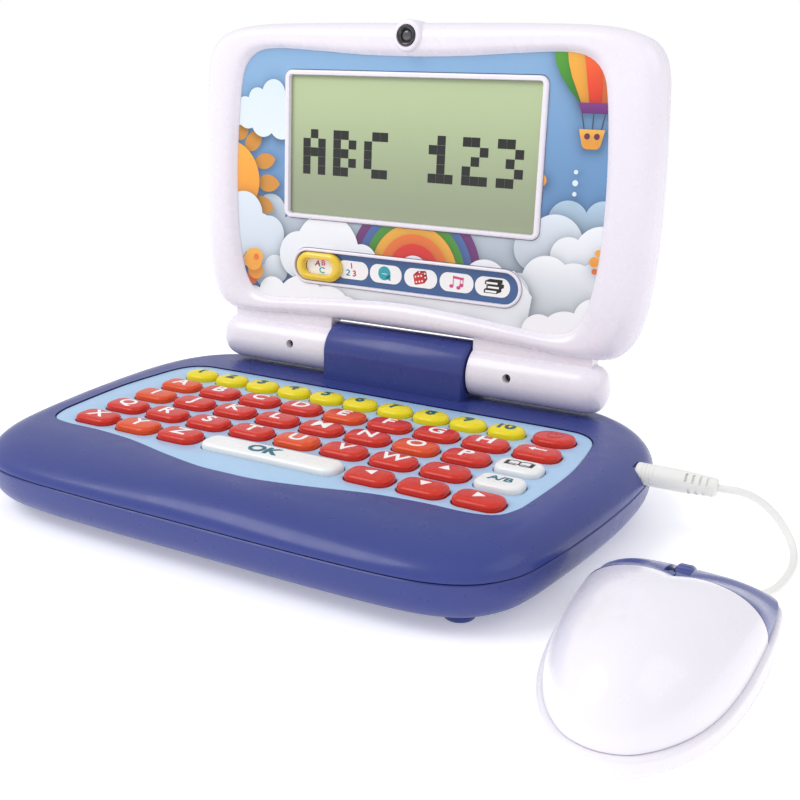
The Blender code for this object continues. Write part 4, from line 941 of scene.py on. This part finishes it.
BANDS = [                      # the rainbow: radius, two colours, shadow
    (30.8, (118, 52, 122), (118, 52, 122), 0.6), (27.0, (82, 116, 174), (70, 104, 164), 0.5),
    (23.6, (84, 160, 52), (70, 142, 44), 0.5), (20.0, (250, 188, 70), (240, 168, 56), 0.5),
    (16.0, (246, 132, 60), (232, 112, 46), 0.5), (12.0, (236, 60, 46), (222, 42, 36), 0.5)]
LAYERS = [
    (discs((70.5, 64.3, 8.2), (84.5, 65.8, 7.4), (77, 60, 8)), (186, 212, 231), (150, 174, 194),
           73, 58, 1.0),
    (discs((40, 48, 14), (54, 52, 12), (25, 50, 12), (-53, 49, 9), (-66.5, 58, 7.5), (-60, 47, 9),
           (-30, 50, 12)), (206, 219, 229), (172, 184, 194), 66, 42, 1.0),
    (petals((-82.2, 91.6, 9, 6.4, 62), (-76.2, 87.4, 11.5, 7.2, 42), (-70.2, 79.2, 11.6, 6.6, 13),
            (-68.4, 69.9, 12.4, 7.4, 0), (-71, 60.5, 12, 7, -20)), (226, 152, 52), (214, 146, 56),
            96, 60, 0.8),
    (discs((-90, 70.5, 17)), (252, 182, 66), (250, 158, 48), 88, 60, 1.0),
    (discs((-65.6, 107.8, 5.9), (-74, 105.5, 4.6), (-80.5, 101.2, 5.0), (-79, 98.5, 5.8),
           (-71, 95.7, 6.2), (-61.5, 95.2, 6.4), (-66, 101, 8.5), (-74, 100, 6.5), (-84, 99, 5)),
           (224, 238, 247), (234, 244, 250), 114, 89, 1.0),
    *[(discs((*RAINBOW, radius)), top, low, 70, 40, shadow) for radius, top, low, shadow in BANDS],
    (discs((*RAINBOW, 7.2)), (238, 240, 244), (222, 226, 232), 46, 40, 0.6),
    (discs((-81, 56, 9.7), (-67.5, 48.2, 7.7), (-74, 45, 12), (-84, 44, 12), (-68, 40, 7)),
           (228, 239, 247), (210, 222, 232), 66, 28, 1.0),
    (discs((66, 55.5, 11.4), (58, 53, 9)), (230, 240, 247), (196, 206, 214), 67, 46, 1.0),
    (discs((71.8, 51.3, 7.5), (85, 52.5, 11.3), (78, 46, 10)), (249, 252, 254), (228, 234, 238),
           64, 36, 1.0),
    (discs((63.5, 40.3, 10.5), (75, 38, 11), (52, 34, 9), (84, 41, 9), (50, 26, 9), (64, 30, 10)),
           (249, 252, 254), (196, 204, 208), 50, 26, 1.0),
    (discs((-64, 32.6, 6.3), (-70, 29, 5)), (240, 246, 250), (196, 205, 212), 39, 28, 1.0),
    (discs((-37.5, 43, 16), (-51.5, 40, 10.4), (-42, 34, 12), (-20, 40, 7.6)), (249, 252, 254),
           (232, 238, 242), 56, 30, 1.0),
    (discs((37.5, 36.6, 10.2), (48, 33.6, 9)), (248, 248, 252), (236, 238, 244), 47, 40, 0.8),
    (polys([(-32, 43.4), (50, 43.4), (58, 34), (56, 18), (-60, 18), (-50, 34)]), (250, 251, 253),
           (228, 233, 237), 43, 20, 0.5),
    (discs((-65.5, 21.8, 7.3), (-50, 17.8, 13.1), (-36, 16, 12), (-28, 14, 10.6), (-76, 16, 8)),
           (253, 254, 255), (248, 250, 252), 31, 20, 0.9),
    (discs((62, 20, 7.6), (73, 19, 11), (84.2, 27.6, 8.6), (0, -60, 84.5), (30, 2, 20.4)),
           (253, 254, 255), (250, 251, 253), 36, 20, 0.9),
    # balloon
    (polys([(60.2, 127.5), (61.2, 122.5), (63.4, 118.0), (66.6, 113.6), (70.0, 110.0), (71.6, 108.2),
           (82.6, 108.2), (90, 128)]), (92, 172, 52), (50, 128, 40), 127, 109, 0.9),
    (polys([(65.4, 127.5), (66.2, 122.6), (67.8, 117.6), (70.0, 113.0), (72.2, 108.2), (90, 108.2),
           (90, 128)]), (253, 184, 68), (240, 160, 52), 127, 109, 0.4),
    (polys([(71.6, 127.5), (72.8, 122.0), (73.8, 116.0), (74.6, 112.0), (75.2, 108.2), (90, 108.2),
           (90, 128)]), (250, 104, 42), (232, 56, 34), 124, 109, 0.4),
    (polys([(79.3, 120), (80.0, 115.0), (80.1, 108.2), (90, 108.2), (90, 121)]), (216, 112, 48),
           (206, 104, 46), 122, 108, 0.3),
    (polys([(71.0, 108.5), (83.6, 108.5), (83.6, 104.6), (72.6, 104.6)]), (128, 56, 132), (106, 40, 116),
           108, 104, 0.7),
    (polys([(72.6, 104.6), (73.0, 104.6), (74.3, 98.6), (73.9, 98.6)], [(77.1, 104.6), (77.5, 104.6),
           (77.5, 98.6), (77.1, 98.6)], [(81.6, 104.6), (82.0, 104.6), (80.9, 98.6), (80.5, 98.6)]),
           (58, 64, 84), (58, 64, 84), 105, 98, 0.3),
    (polys([(72.2, 98.9), (82.2, 98.9), (81.9, 97.6), (80.9, 93.4), (80.2, 92.2), (79.2, 91.8),
           (75.2, 91.8), (74.2, 92.2), (73.5, 93.4), (72.4, 97.6)]), (252, 190, 82), (240, 158, 52),
           99, 92, 0.9),
    (discs((75.4, 96.4, 1.15), (79.2, 96.4, 1.15)), (112, 40, 76), (112, 40, 76), 98, 95, 0.3),
    (discs((58.2, 79.3, 2.5)), (246, 172, 74), (240, 158, 58), 82, 77, 0.9),
    (discs((72.2, 83.2, 0.85), (72.2, 79.1, 1.15), (72.2, 75.0, 0.85)), (226, 241, 250), (226, 241, 250),
           84, 74, 0.3),
    # butterflies
    (discs((-76.9, 27.4, 2.9)), (238, 116, 44), (226, 98, 38), 30, 25, 0.6),
    (discs((-75.0, 31.2, 4.1)), (252, 170, 58), (248, 152, 44), 36, 27, 0.6),
    (discs((-76.4, 35.8, 4.9), (-74.6, 37.4, 3.6)), (254, 186, 74), (250, 164, 52), 41, 30, 0.6),
    (discs((-74.6, 37.0, 1.45)), (236, 118, 40), (236, 118, 40), 39, 35, 0.1),
    (polys([(-82.5, 36.4), (-81.9, 36.0), (-81.2, 32), (-80.4, 28), (-80.5, 26.4), (-81.3, 26.2),
           (-82.2, 28.5), (-82.9, 32.5), (-83.0, 35.4)]), (84, 48, 40), (64, 38, 36), 36, 26, 0.5),
    (polys([(-82.5, 36.2), (-82.2, 36.2), (-83.6, 38.4), (-83.9, 38.2)], [(-82.0, 36.2), (-81.7, 36.1),
           (-79.9, 38.8), (-80.2, 38.9)]), (70, 70, 84), (70, 70, 84), 39, 36, 0.1),
    (discs((82.2, 50.2, 2.0), (83.6, 53.6, 1.4)), (252, 176, 66), (246, 156, 50), 55, 48, 0.5),
    (discs((82.6, 46.6, 1.2)), (226, 110, 40), (226, 110, 40), 48, 45, 0.4)]


def distance(shape, points):
    """Signed distance to one shape, less than zero within it."""
    kind, *facts = shape
    if kind == "disc":
        return np.hypot(points[:, 0] - facts[0], points[:, 1] - facts[1]) - facts[2]
    if kind == "petal":
        x, v, radius, shift_x, shift_v = facts
        first = np.hypot(points[:, 0] - x - shift_x, points[:, 1] - v - shift_v) - radius
        second = np.hypot(points[:, 0] - x + shift_x, points[:, 1] - v + shift_v) - radius
        return np.maximum(first, second)
    corners = facts[0]
    best = np.full(len(points), 1e9)
    for a, b in zip(corners, np.roll(corners, -1, axis=0)):
        along = np.clip(((points - a) @ (b - a)) / ((b - a) @ (b - a)), 0, 1)[:, None]
        best = np.minimum(best, np.linalg.norm(points - a - along * (b - a), axis=1))
    return np.where(inside(points, corners), -best, best)


def layer_distance(layer, points):
    return np.min([distance(shape, points) for shape in layer[0]], axis=0)


def shape_outline(shape):
    kind, *facts = shape
    if kind == "disc":
        return circle(facts[2], facts[:2], max(20, int(facts[2] * 7)))
    if kind == "petal":
        x, v, radius, shift_x, shift_v = facts
        shift = math.hypot(shift_x, shift_v)
        half = math.acos(shift / radius)
        start = math.atan2(-shift_v, -shift_x)
        arcs = []
        for sign in (1, -1):
            turns = np.linspace(start - half, start + half, 14)[:-1] + (0 if sign == 1 else np.pi)
            arcs.append(np.column_stack([x + sign * shift_x + radius * np.cos(turns),
                                         v + sign * shift_v + radius * np.sin(turns)]))
        return np.vstack(arcs)
    return facts[0]


def paint(points, owner):
    """Light values at points that belong to the given layers, -1 for the sky."""
    x, v = points[:, 0], points[:, 1]
    screen = np.zeros((len(points), 3))
    share = np.clip((124 - v) / 70 + 0.12 * (x / 84), 0, 1)[:, None]
    screen[:] = np.array(SKY[0]) * (1 - share) + np.array(SKY[1]) * share
    for index, (_, top, low, top_v, low_v, _) in enumerate(LAYERS):
        mine = owner == index
        share = np.clip((top_v - v[mine]) / (top_v - low_v), 0, 1)[:, None]
        screen[mine] = np.array(top) * (1 - share) + np.array(low) * share
    dark = np.ones(len(points))
    for index, layer in enumerate(LAYERS):
        under = owner < index
        gap = layer_distance(layer, points[under] - (0.5, -0.9))
        dark[under] *= 1 - 0.27 * layer[5] * np.exp(-np.maximum(gap, 0) / 1.7)
    screen *= dark[:, None] ** np.array([1.08, 1.0, 0.92])
    level = screen / 255
    return ((level + 0.055) / 1.055) ** 2.4


def make_picture():
    frame_hole = rounded(FRAME_SIZE[0] + 0.5, FRAME_SIZE[1] + 0.5, 3.7, (0, SCREEN_V))
    track_hole = stadium(TRACK_SIZE[0] + 0.5, TRACK_SIZE[1] + 0.5, TRACK_CENTRE)
    points, edges = [], []

    def add_line(loop, keep=None):
        start = len(points)
        points.extend(loop)
        for index in range(len(loop)):
            after = (index + 1) % len(loop)
            if keep is None or (keep[index] and keep[after]):
                edges.append((start + index, start + after))

    for loop in (art_loop, frame_hole, track_hole):
        add_line(loop)
    for index, layer in enumerate(LAYERS):
        for shape in layer[0]:
            loop = shape_outline(shape)
            keep = inside(loop, inset_loop(art_loop, -1.5)) & ~inside(loop, frame_hole * (0.98, 1) + (0, 0))
            for front in LAYERS[index + 1:]:
                keep &= layer_distance(front, loop) > -0.4
            keep &= layer_distance(layer, loop) > -0.3
            near = keep | np.roll(keep, 1) | np.roll(keep, -1)
            add_line(loop, near)
    grid_x, grid_v = np.meshgrid(np.arange(-85, 85.5, 1.1), np.arange(20, 127, 0.95))
    grid_x[::2] += 0.55
    grid = np.column_stack([grid_x.ravel(), grid_v.ravel()])
    grid = grid[inside(grid, inset_loop(art_loop, 0.5))]
    grid = grid[~inside(grid, frame_hole) & ~inside(grid, track_hole)]
    points.extend(grid)
    found, faces, _ = triangulate(points, edges)
    middles = found[faces].mean(axis=1)
    faces = faces[inside(middles, art_loop) & ~inside(middles, frame_hole) & ~inside(middles, track_hole)]
    middles = found[faces].mean(axis=1)
    owner = np.full(len(faces), -1)
    for index, layer in enumerate(LAYERS):
        owner[layer_distance(layer, middles) < 0] = index
    corners = found[faces].reshape(-1, 2)
    colours = paint(corners, np.repeat(owner, 3)).reshape(-1, 3, 3)

    sheet = bmesh.new()
    layer = sheet.loops.layers.float_color.new("paint")
    used = np.unique(faces)
    top = {index: sheet.verts.new((*found[index], ART_TOP_N)) for index in used}
    low = {index: sheet.verts.new((*found[index], ART_TOP_N - 1.4)) for index in used}
    sides = {}
    for face, shades in zip(faces, colours):
        made = sheet.faces.new([top[i] for i in face])
        for loop, shade in zip(made.loops, shades):
            loop[layer] = (*shade, 1)
        under = sheet.faces.new([low[i] for i in reversed(face)])
        for loop in under.loops:
            loop[layer] = (0.8, 0.8, 0.8, 1)
        for a, b in zip(face, np.roll(face, -1)):
            sides[(a, b)] = sides.get((a, b), 0) + 1
    for a, b in sides:
        if (b, a) not in sides:
            wall = sheet.faces.new([top[b], top[a], low[a], low[b]])
            for loop in wall.loops:
                loop[layer] = (0.7, 0.75, 0.8, 1)
    piece("picture_sheet", sheet, "lid", ART, FACE, ["artwork_panel"])


make_picture()


# ---------------------------------------------------------------- mode slider
OVALS = [-40.4, -24.7, -8.5, 8.1, 24.6, 40.6]


def make_track():
    centre = TRACK_CENTRE
    rows = [raised(stadium(*TRACK_SIZE, centre), n) for n in (0.6, 4.0)]
    for inset, drop in reversed(soft_edge(0.6, 4)):
        rows.append(raised(stadium(TRACK_SIZE[0] - 2 * inset, TRACK_SIZE[1] - 2 * inset, centre), 4.6 - drop))
    for inset, n in ((0.95, 4.6), (1.2, 4.5), (1.3, 4.2), (1.3, 0.6)):
        rows.append(raised(stadium(TRACK_SIZE[0] - 2 * inset, TRACK_SIZE[1] - 2 * inset, centre), n))
    piece("track_border", loft(rows, ring=True), "lid", WHITE, FACE, ["slider_track"])
    bed = flat(stadium(TRACK_SIZE[0] - 2.5, TRACK_SIZE[1] - 2.5, centre), 0.7, 2.9)
    piece("track_bed", bed, "lid", BED, FACE)
    labels = bmesh.new()
    for x in OVALS:
        flat(rounded(15.3, 7.8, 3.7, (x, 36.0), 8), 2.7, 3.0, labels)
    piece("track_labels", labels, "lid", LEGEND_WHITE, FACE)

    def icon(name, shapes, surface, high=3.06):
        made = bmesh.new()
        for shape in shapes:
            flat(np.array(shape), 2.9, high, made)
        piece(name, made, "lid", surface, FACE)

    def word(name, text, x, v, height, surface, turn=0.0):
        shape = letters(text, height, 1.15, 0.25)
        for vert in shape.verts:
            vert.co.z = 0.06 if vert.co.z > 0 else -0.1
        shape.transform(Matrix.Rotation(math.radians(turn), 4, "Z"))
        piece(name, shape, "lid", surface, FACE @ moved(x, v, 3.0))

    x = OVALS[0]
    word("icon_letter_a", "A", x - 1.9, 37.3, 2.6, PURPLE, -8)
    word("icon_letter_b", "B", x + 0.9, 37.7, 2.4, PINK, 6)
    word("icon_letter_c", "C", x + 0.2, 34.5, 2.6, TEAL_DISC, -4)
    word("icon_digit_1", "1", -25.3, 37.9, 2.4, RED_PRINT, 8)
    word("icon_digit_2", "2", -26.9, 34.8, 2.7, BLUE_PRINT, -6)
    word("icon_digit_3", "3", -23.8, 34.7, 2.6, RED_PRINT, 4)
    tail = [(-8.8, 34.4), (-6.15, 36.0), (-6.1, 33.3)]
    icon("icon_bubble", [circle(2.95, (-9.1, 36.3), 32), tail], TEAL_DISC)
    mark = [(-10.2, 36.0), (-10.2, 36.25), (-7.9, 36.15), (-7.9, 35.9)]
    icon("icon_bubble_marks", [mark], LEGEND_WHITE, 3.1)
    spin = np.array(Matrix.Rotation(math.radians(14), 2))

    def tilted(loop):
        return np.array(loop) @ spin.T + (7.3, 35.7)

    icon("icon_die", [tilted(rounded(4.6, 4.4, 0.5, steps=3))], RED_PRINT)
    icon("icon_die_side", [tilted([(2.3, -2.2), (4.0, -0.6), (4.0, 2.6), (2.3, 2.2)]),
                           tilted([(-2.1, 2.2), (2.3, 2.2), (4.0, 2.8), (0.2, 3.3)])], DARK_RED, 3.05)
    spots = [(x, y) for x in (-1.3, 0.1, 1.4) for y in (-1.1, 1.1)] + [(3.1, 0.1), (3.2, 1.7), (0.9, 2.7)]
    icon("icon_die_spots", [tilted(circle(0.38, spot, 10)) for spot in spots], LEGEND_WHITE, 3.1)
    notes = []
    for x, v in ((22.4, 34.4), (25.6, 34.0), (26.9, 35.1)):
        notes.append(circle(0.95, (x, v), 16, 0.8))
    notes += [[(23.0, 34.4), (23.35, 34.4), (23.35, 38.6), (23.0, 38.6)],
              [(26.2, 34.0), (26.5, 34.0), (26.5, 38.2), (26.2, 38.2)],
              [(27.4, 35.1), (27.75, 35.1), (27.75, 38.4), (27.4, 38.4)],
              [(23.0, 38.7), (27.75, 38.2), (27.75, 37.2), (23.0, 37.7)]]
    icon("icon_notes", notes, PINK)
    books, pages = [], []
    book = np.array([(37.0, 0), (42.6, 0), (44.6, 1.0), (44.6, 2.4), (39.0, 2.4), (37.0, 1.4)])
    page = np.array([(37.6, 0.3), (42.5, 0.3), (42.5, 1.1), (37.6, 1.1)])
    for place in ((0.0, 33.4), (1.0, 35.1), (0.3, 36.8)):
        books.append(book + place)
        pages.append(page + place)
    icon("icon_books", books, INK)
    icon("icon_book_pages", pages, LEGEND_WHITE, 3.1)

    ring = []
    size, window = (22.6, 12.2), (14.6, 6.6)
    for turn in np.linspace(0, np.pi / 2, 8):
        inset = 2.3 * (1 - math.cos(turn))
        ring.append(raised(stadium(size[0] - 2 * inset, size[1] - 2 * inset), 4.2 + 1.8 * math.sin(turn)))
    for turn in np.linspace(np.pi / 2, 0, 6):
        grow = 1.3 * (1 - math.cos(turn))
        ring.append(raised(stadium(window[0] + 2 * grow, window[1] + 2 * grow), 4.6 + 1.4 * math.sin(turn)))
    ring.append(raised(stadium(*window), 3.2))
    ring.append(raised(stadium(*size), 3.2))
    low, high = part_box("mode_slider")
    middle = FACE.inverted() @ ((low + high) / 2)
    at = FACE @ Matrix.Translation((middle.x, TRACK_CENTRE[1] * MM, 0))
    piece("slider_ring", loft(ring, ring=True), "mode_slider", RING, at, ["mode_slider"])


make_track()

# ---------------------------------------------------------------- mouse
MOUSE_DEEP = 3.0               # its deep insets shrink sooner than the laptop's
CREASE_Z = (6.4, 10.2)
SPINE_B = (-16, 20)
MOUSE_TOP_Z = 29.5
MOUSE_ARCH = 0.0092
DOME_INSET = 1.8
SHELL_WALL = 2.0
BUTTON_EDGE_B = 20.0
BUTTON_LENGTH = 24.7
WHEEL_PLACE = (34.0, 12.7)
WHEEL_SLOT_HALF = 3.8
mouse_loop = mirrored(MOUSE_OUTLINE, 160)


def crease_height(b):
    share = np.clip((b + 30) / 70, 0, 1)
    low, high = CREASE_Z
    return low + (high - low) * share * share * (3 - 2 * share)


def dome_row(outline, share, drop=0.0, edge_lift=0.0):
    """A loop of the mouse's top: share 0 at the crease, 1 at the spine. The front slopes more flatly."""
    turn = math.pi / 2 * share
    a, b = outline[:, 0], outline[:, 1]
    spine = np.clip(b * 0.55, *SPINE_B)
    edge = crease_height(b) + GAP + edge_lift * np.maximum(b - BUTTON_EDGE_B, 0) / BUTTON_LENGTH
    top = MOUSE_TOP_Z - MOUSE_ARCH * (spine + 6) ** 2 - drop
    frontness = np.clip((b - 22) / 22, 0, 1)
    bend = 1 + frontness * frontness * (3 - 2 * frontness)
    pull = 1 - math.cos(turn)
    rise = math.sin(turn) ** bend
    return np.column_stack([a * (1 - pull), b + (spine - b) * pull, edge + (top - edge) * rise])


def mouse_dome(edge_lift=0.0):
    """The mouse's hollow top, closed along its spine."""
    outer_loop = inset_loop(mouse_loop, DOME_INSET, MOUSE_DEEP)
    inner_loop = inset_loop(mouse_loop, DOME_INSET + SHELL_WALL, MOUSE_DEEP)
    outer = [dome_row(outer_loop, share, 0.0, edge_lift) for share in np.linspace(0, 1, 24)]
    inner = [dome_row(inner_loop, share, SHELL_WALL, edge_lift) for share in np.linspace(1, 0, 12)]
    shape = bmesh.new()
    first, second = rings(shape, outer), rings(shape, inner)
    low, high = first[0], second[-1]
    for index in range(len(low)):
        after = (index + 1) % len(low)
        shape.faces.new([low[index], low[after], high[after], high[index]])
    bmesh.ops.remove_doubles(shape, verts=shape.verts, dist=2e-3)
    bmesh.ops.dissolve_degenerate(shape, edges=shape.edges, dist=1e-3)
    return shape


def make_mouse():
    top = piece("mouse_top", mouse_dome(), "mouse", MOUSE_WHITE, MOUSE, ["mouse_top_shell"])
    cut(top, [boxes([((-40, BUTTON_EDGE_B, -5), (40, 60, 50))])], 50)
    for side, word in ((-1, "left"), (1, "right")):
        body = f"mouse_{word}_button"
        shape = piece(f"button_{word}", mouse_dome(1.5), body, MOUSE_BLUE, MOUSE, [body])
        other = sorted((side * -40, side * 0.2))
        tools = [((other[0], -60, -5), (other[1], 60, 50)), ((-40, -60, -6), (40, BUTTON_EDGE_B + GAP, 51)),
                 ((-WHEEL_SLOT_HALF, WHEEL_PLACE[0] - 11, -7), (WHEEL_SLOT_HALF, WHEEL_PLACE[0] + 11, 52))]
        cut(shape, [boxes([pair]) for pair in tools], 50)

    def crease_row(inset, share):
        loop = inset_loop(mouse_loop, inset, MOUSE_DEEP)
        return raised(loop, crease_height(loop[:, 1]) * share)

    rows = [raised(inset_loop(mouse_loop, inset, MOUSE_DEEP), z)
            for inset, z in ((3.4, 0.5), (1.5, 0.75), (0.55, 1.15), (0.08, 1.65))]
    rows += [crease_row(inset, share) for inset, share in
             ((0, 0.38), (0, 0.78), (0.1, 0.87), (0.4, 0.94), (0.9, 0.985), (1.6, 1.0), (4.0, 1.0))]
    rows.append(raised(inset_loop(mouse_loop, 4.2, MOUSE_DEEP), 3.0))
    dents = [[raised(circle(r, (0, -4), 32), z) for r, z in ((5.5, 0.5), (5.0, 0.9), (5.0, 1.8))],
             [raised(circle(r, (0, -34), 24), z) for r, z in ((3.0, 0.5), (2.7, 0.8), (2.7, 2.2))]]
    base = piece("mouse_base", plate(rows, (), dents), "mouse", MOUSE_WHITE, MOUSE, ["mouse_bottom_shell"],
                 50)
    hole = turned([(36, 2.1), (60, 2.1)], 24)
    hole.transform(Matrix.Translation((0, 0, 7.0)) @ ALONG_Y)
    cut(base, [hole], 50)
    pads = bmesh.new()
    for b, width in ((36, 26), (-41, 18)):
        flat(stadium(width, 4.4, (0, b), 6), 0.0, 0.8, pads)
    piece("glide_pads", pads, "mouse", PAD, MOUSE)
    window = turned([(1.2, 4.4), (1.0, 3.4), (0.95, 2.0), (1.3, 1.0), (2.6, 1.0), (2.6, 4.4)], 32)
    piece("optical_window", window, "mouse", SENSOR, MOUSE @ moved(0, -4, 0))

    side, rows = [(-3.0, 6.2), (-2.75, 6.9), (-2.2, 7.5), (-1.6, 7.75)], []
    turns = 2 * np.pi * np.arange(144) / 144
    for x, radius in [*side, *((-x, radius) for x, radius in reversed(side))]:
        groove = 0.28 * (np.arange(144) % 6 < 2) if radius > 7.6 else 0.0
        rows.append(np.column_stack([np.full(144, x), (radius - groove) * np.cos(turns),
                                     (radius - groove) * np.sin(turns)]))
    piece("wheel_tyre", loft(rows), "scroll_wheel", MOUSE_BLUE, MOUSE @ moved(0, *WHEEL_PLACE),
          ["scroll_wheel"], 60)


make_mouse()

# ---------------------------------------------------------------- carried-over CAD nodes
for node, surface in (("hinge_pin", STEEL), ("key_membrane", RUBBER), ("circuit_board", BOARD),
                      ("loudspeaker", SPEAKER), ("jack_socket", LENS_BLACK)):
    for material_slot in frame["nodes"][node].material_slots:
        material_slot.material = surface

# ---------------------------------------------------------------- floor and light
floor_mesh = bpy.data.meshes.new("floor")
floor_mesh.from_pydata([(-6, -6, 0), (6, -6, 0), (6, 6, 0), (-6, 6, 0)], [], [(0, 1, 2, 3)])
paper = plastic("floor_paper", (0.98, 0.98, 0.985), 0.9, 0.0, mottle=0.004, relief=0.01, specular=0.1,
                glow=0.3)
floor_mesh.materials.append(paper)
floor = bpy.data.objects.new("floor", floor_mesh)
bpy.context.scene.collection.objects.link(floor)

world = bpy.data.worlds.new("studio")
world.use_nodes = True
sky = world.node_tree.nodes["Background"]
sky.inputs["Color"].default_value = (0.97, 0.965, 1.0, 1)
sky.inputs["Strength"].default_value = 0.76
plain = world.node_tree.nodes.new("ShaderNodeBackground")
plain.inputs["Color"].default_value = (1, 1, 1, 1)
rays = world.node_tree.nodes.new("ShaderNodeLightPath")
either = world.node_tree.nodes.new("ShaderNodeMixShader")
world.node_tree.links.new(rays.outputs["Is Camera Ray"], either.inputs["Fac"])
world.node_tree.links.new(sky.outputs["Background"], either.inputs[1])
world.node_tree.links.new(plain.outputs["Background"], either.inputs[2])
world.node_tree.links.new(either.outputs["Shader"], world.node_tree.nodes["World Output"].inputs["Surface"])
bpy.context.scene.world = world


def soft_light(name, place, target, size, watts):
    data = bpy.data.lights.new(name, "AREA")
    data.size = size
    data.energy = watts
    light = bpy.data.objects.new(name, data)
    bpy.context.scene.collection.objects.link(light)
    light.location = place
    light.rotation_euler = (Vector(target) - Vector(place)).to_track_quat("-Z", "Y").to_euler()


soft_light("key_light", (-0.7, -0.65, 1.15), (0, 0, 0.05), 0.8, 7.6)
soft_light("side_light", (1.0, 0.1, 0.9), (0, 0, 0.05), 0.8, 1.4)
bpy.context.scene.view_settings.view_transform = "Standard"
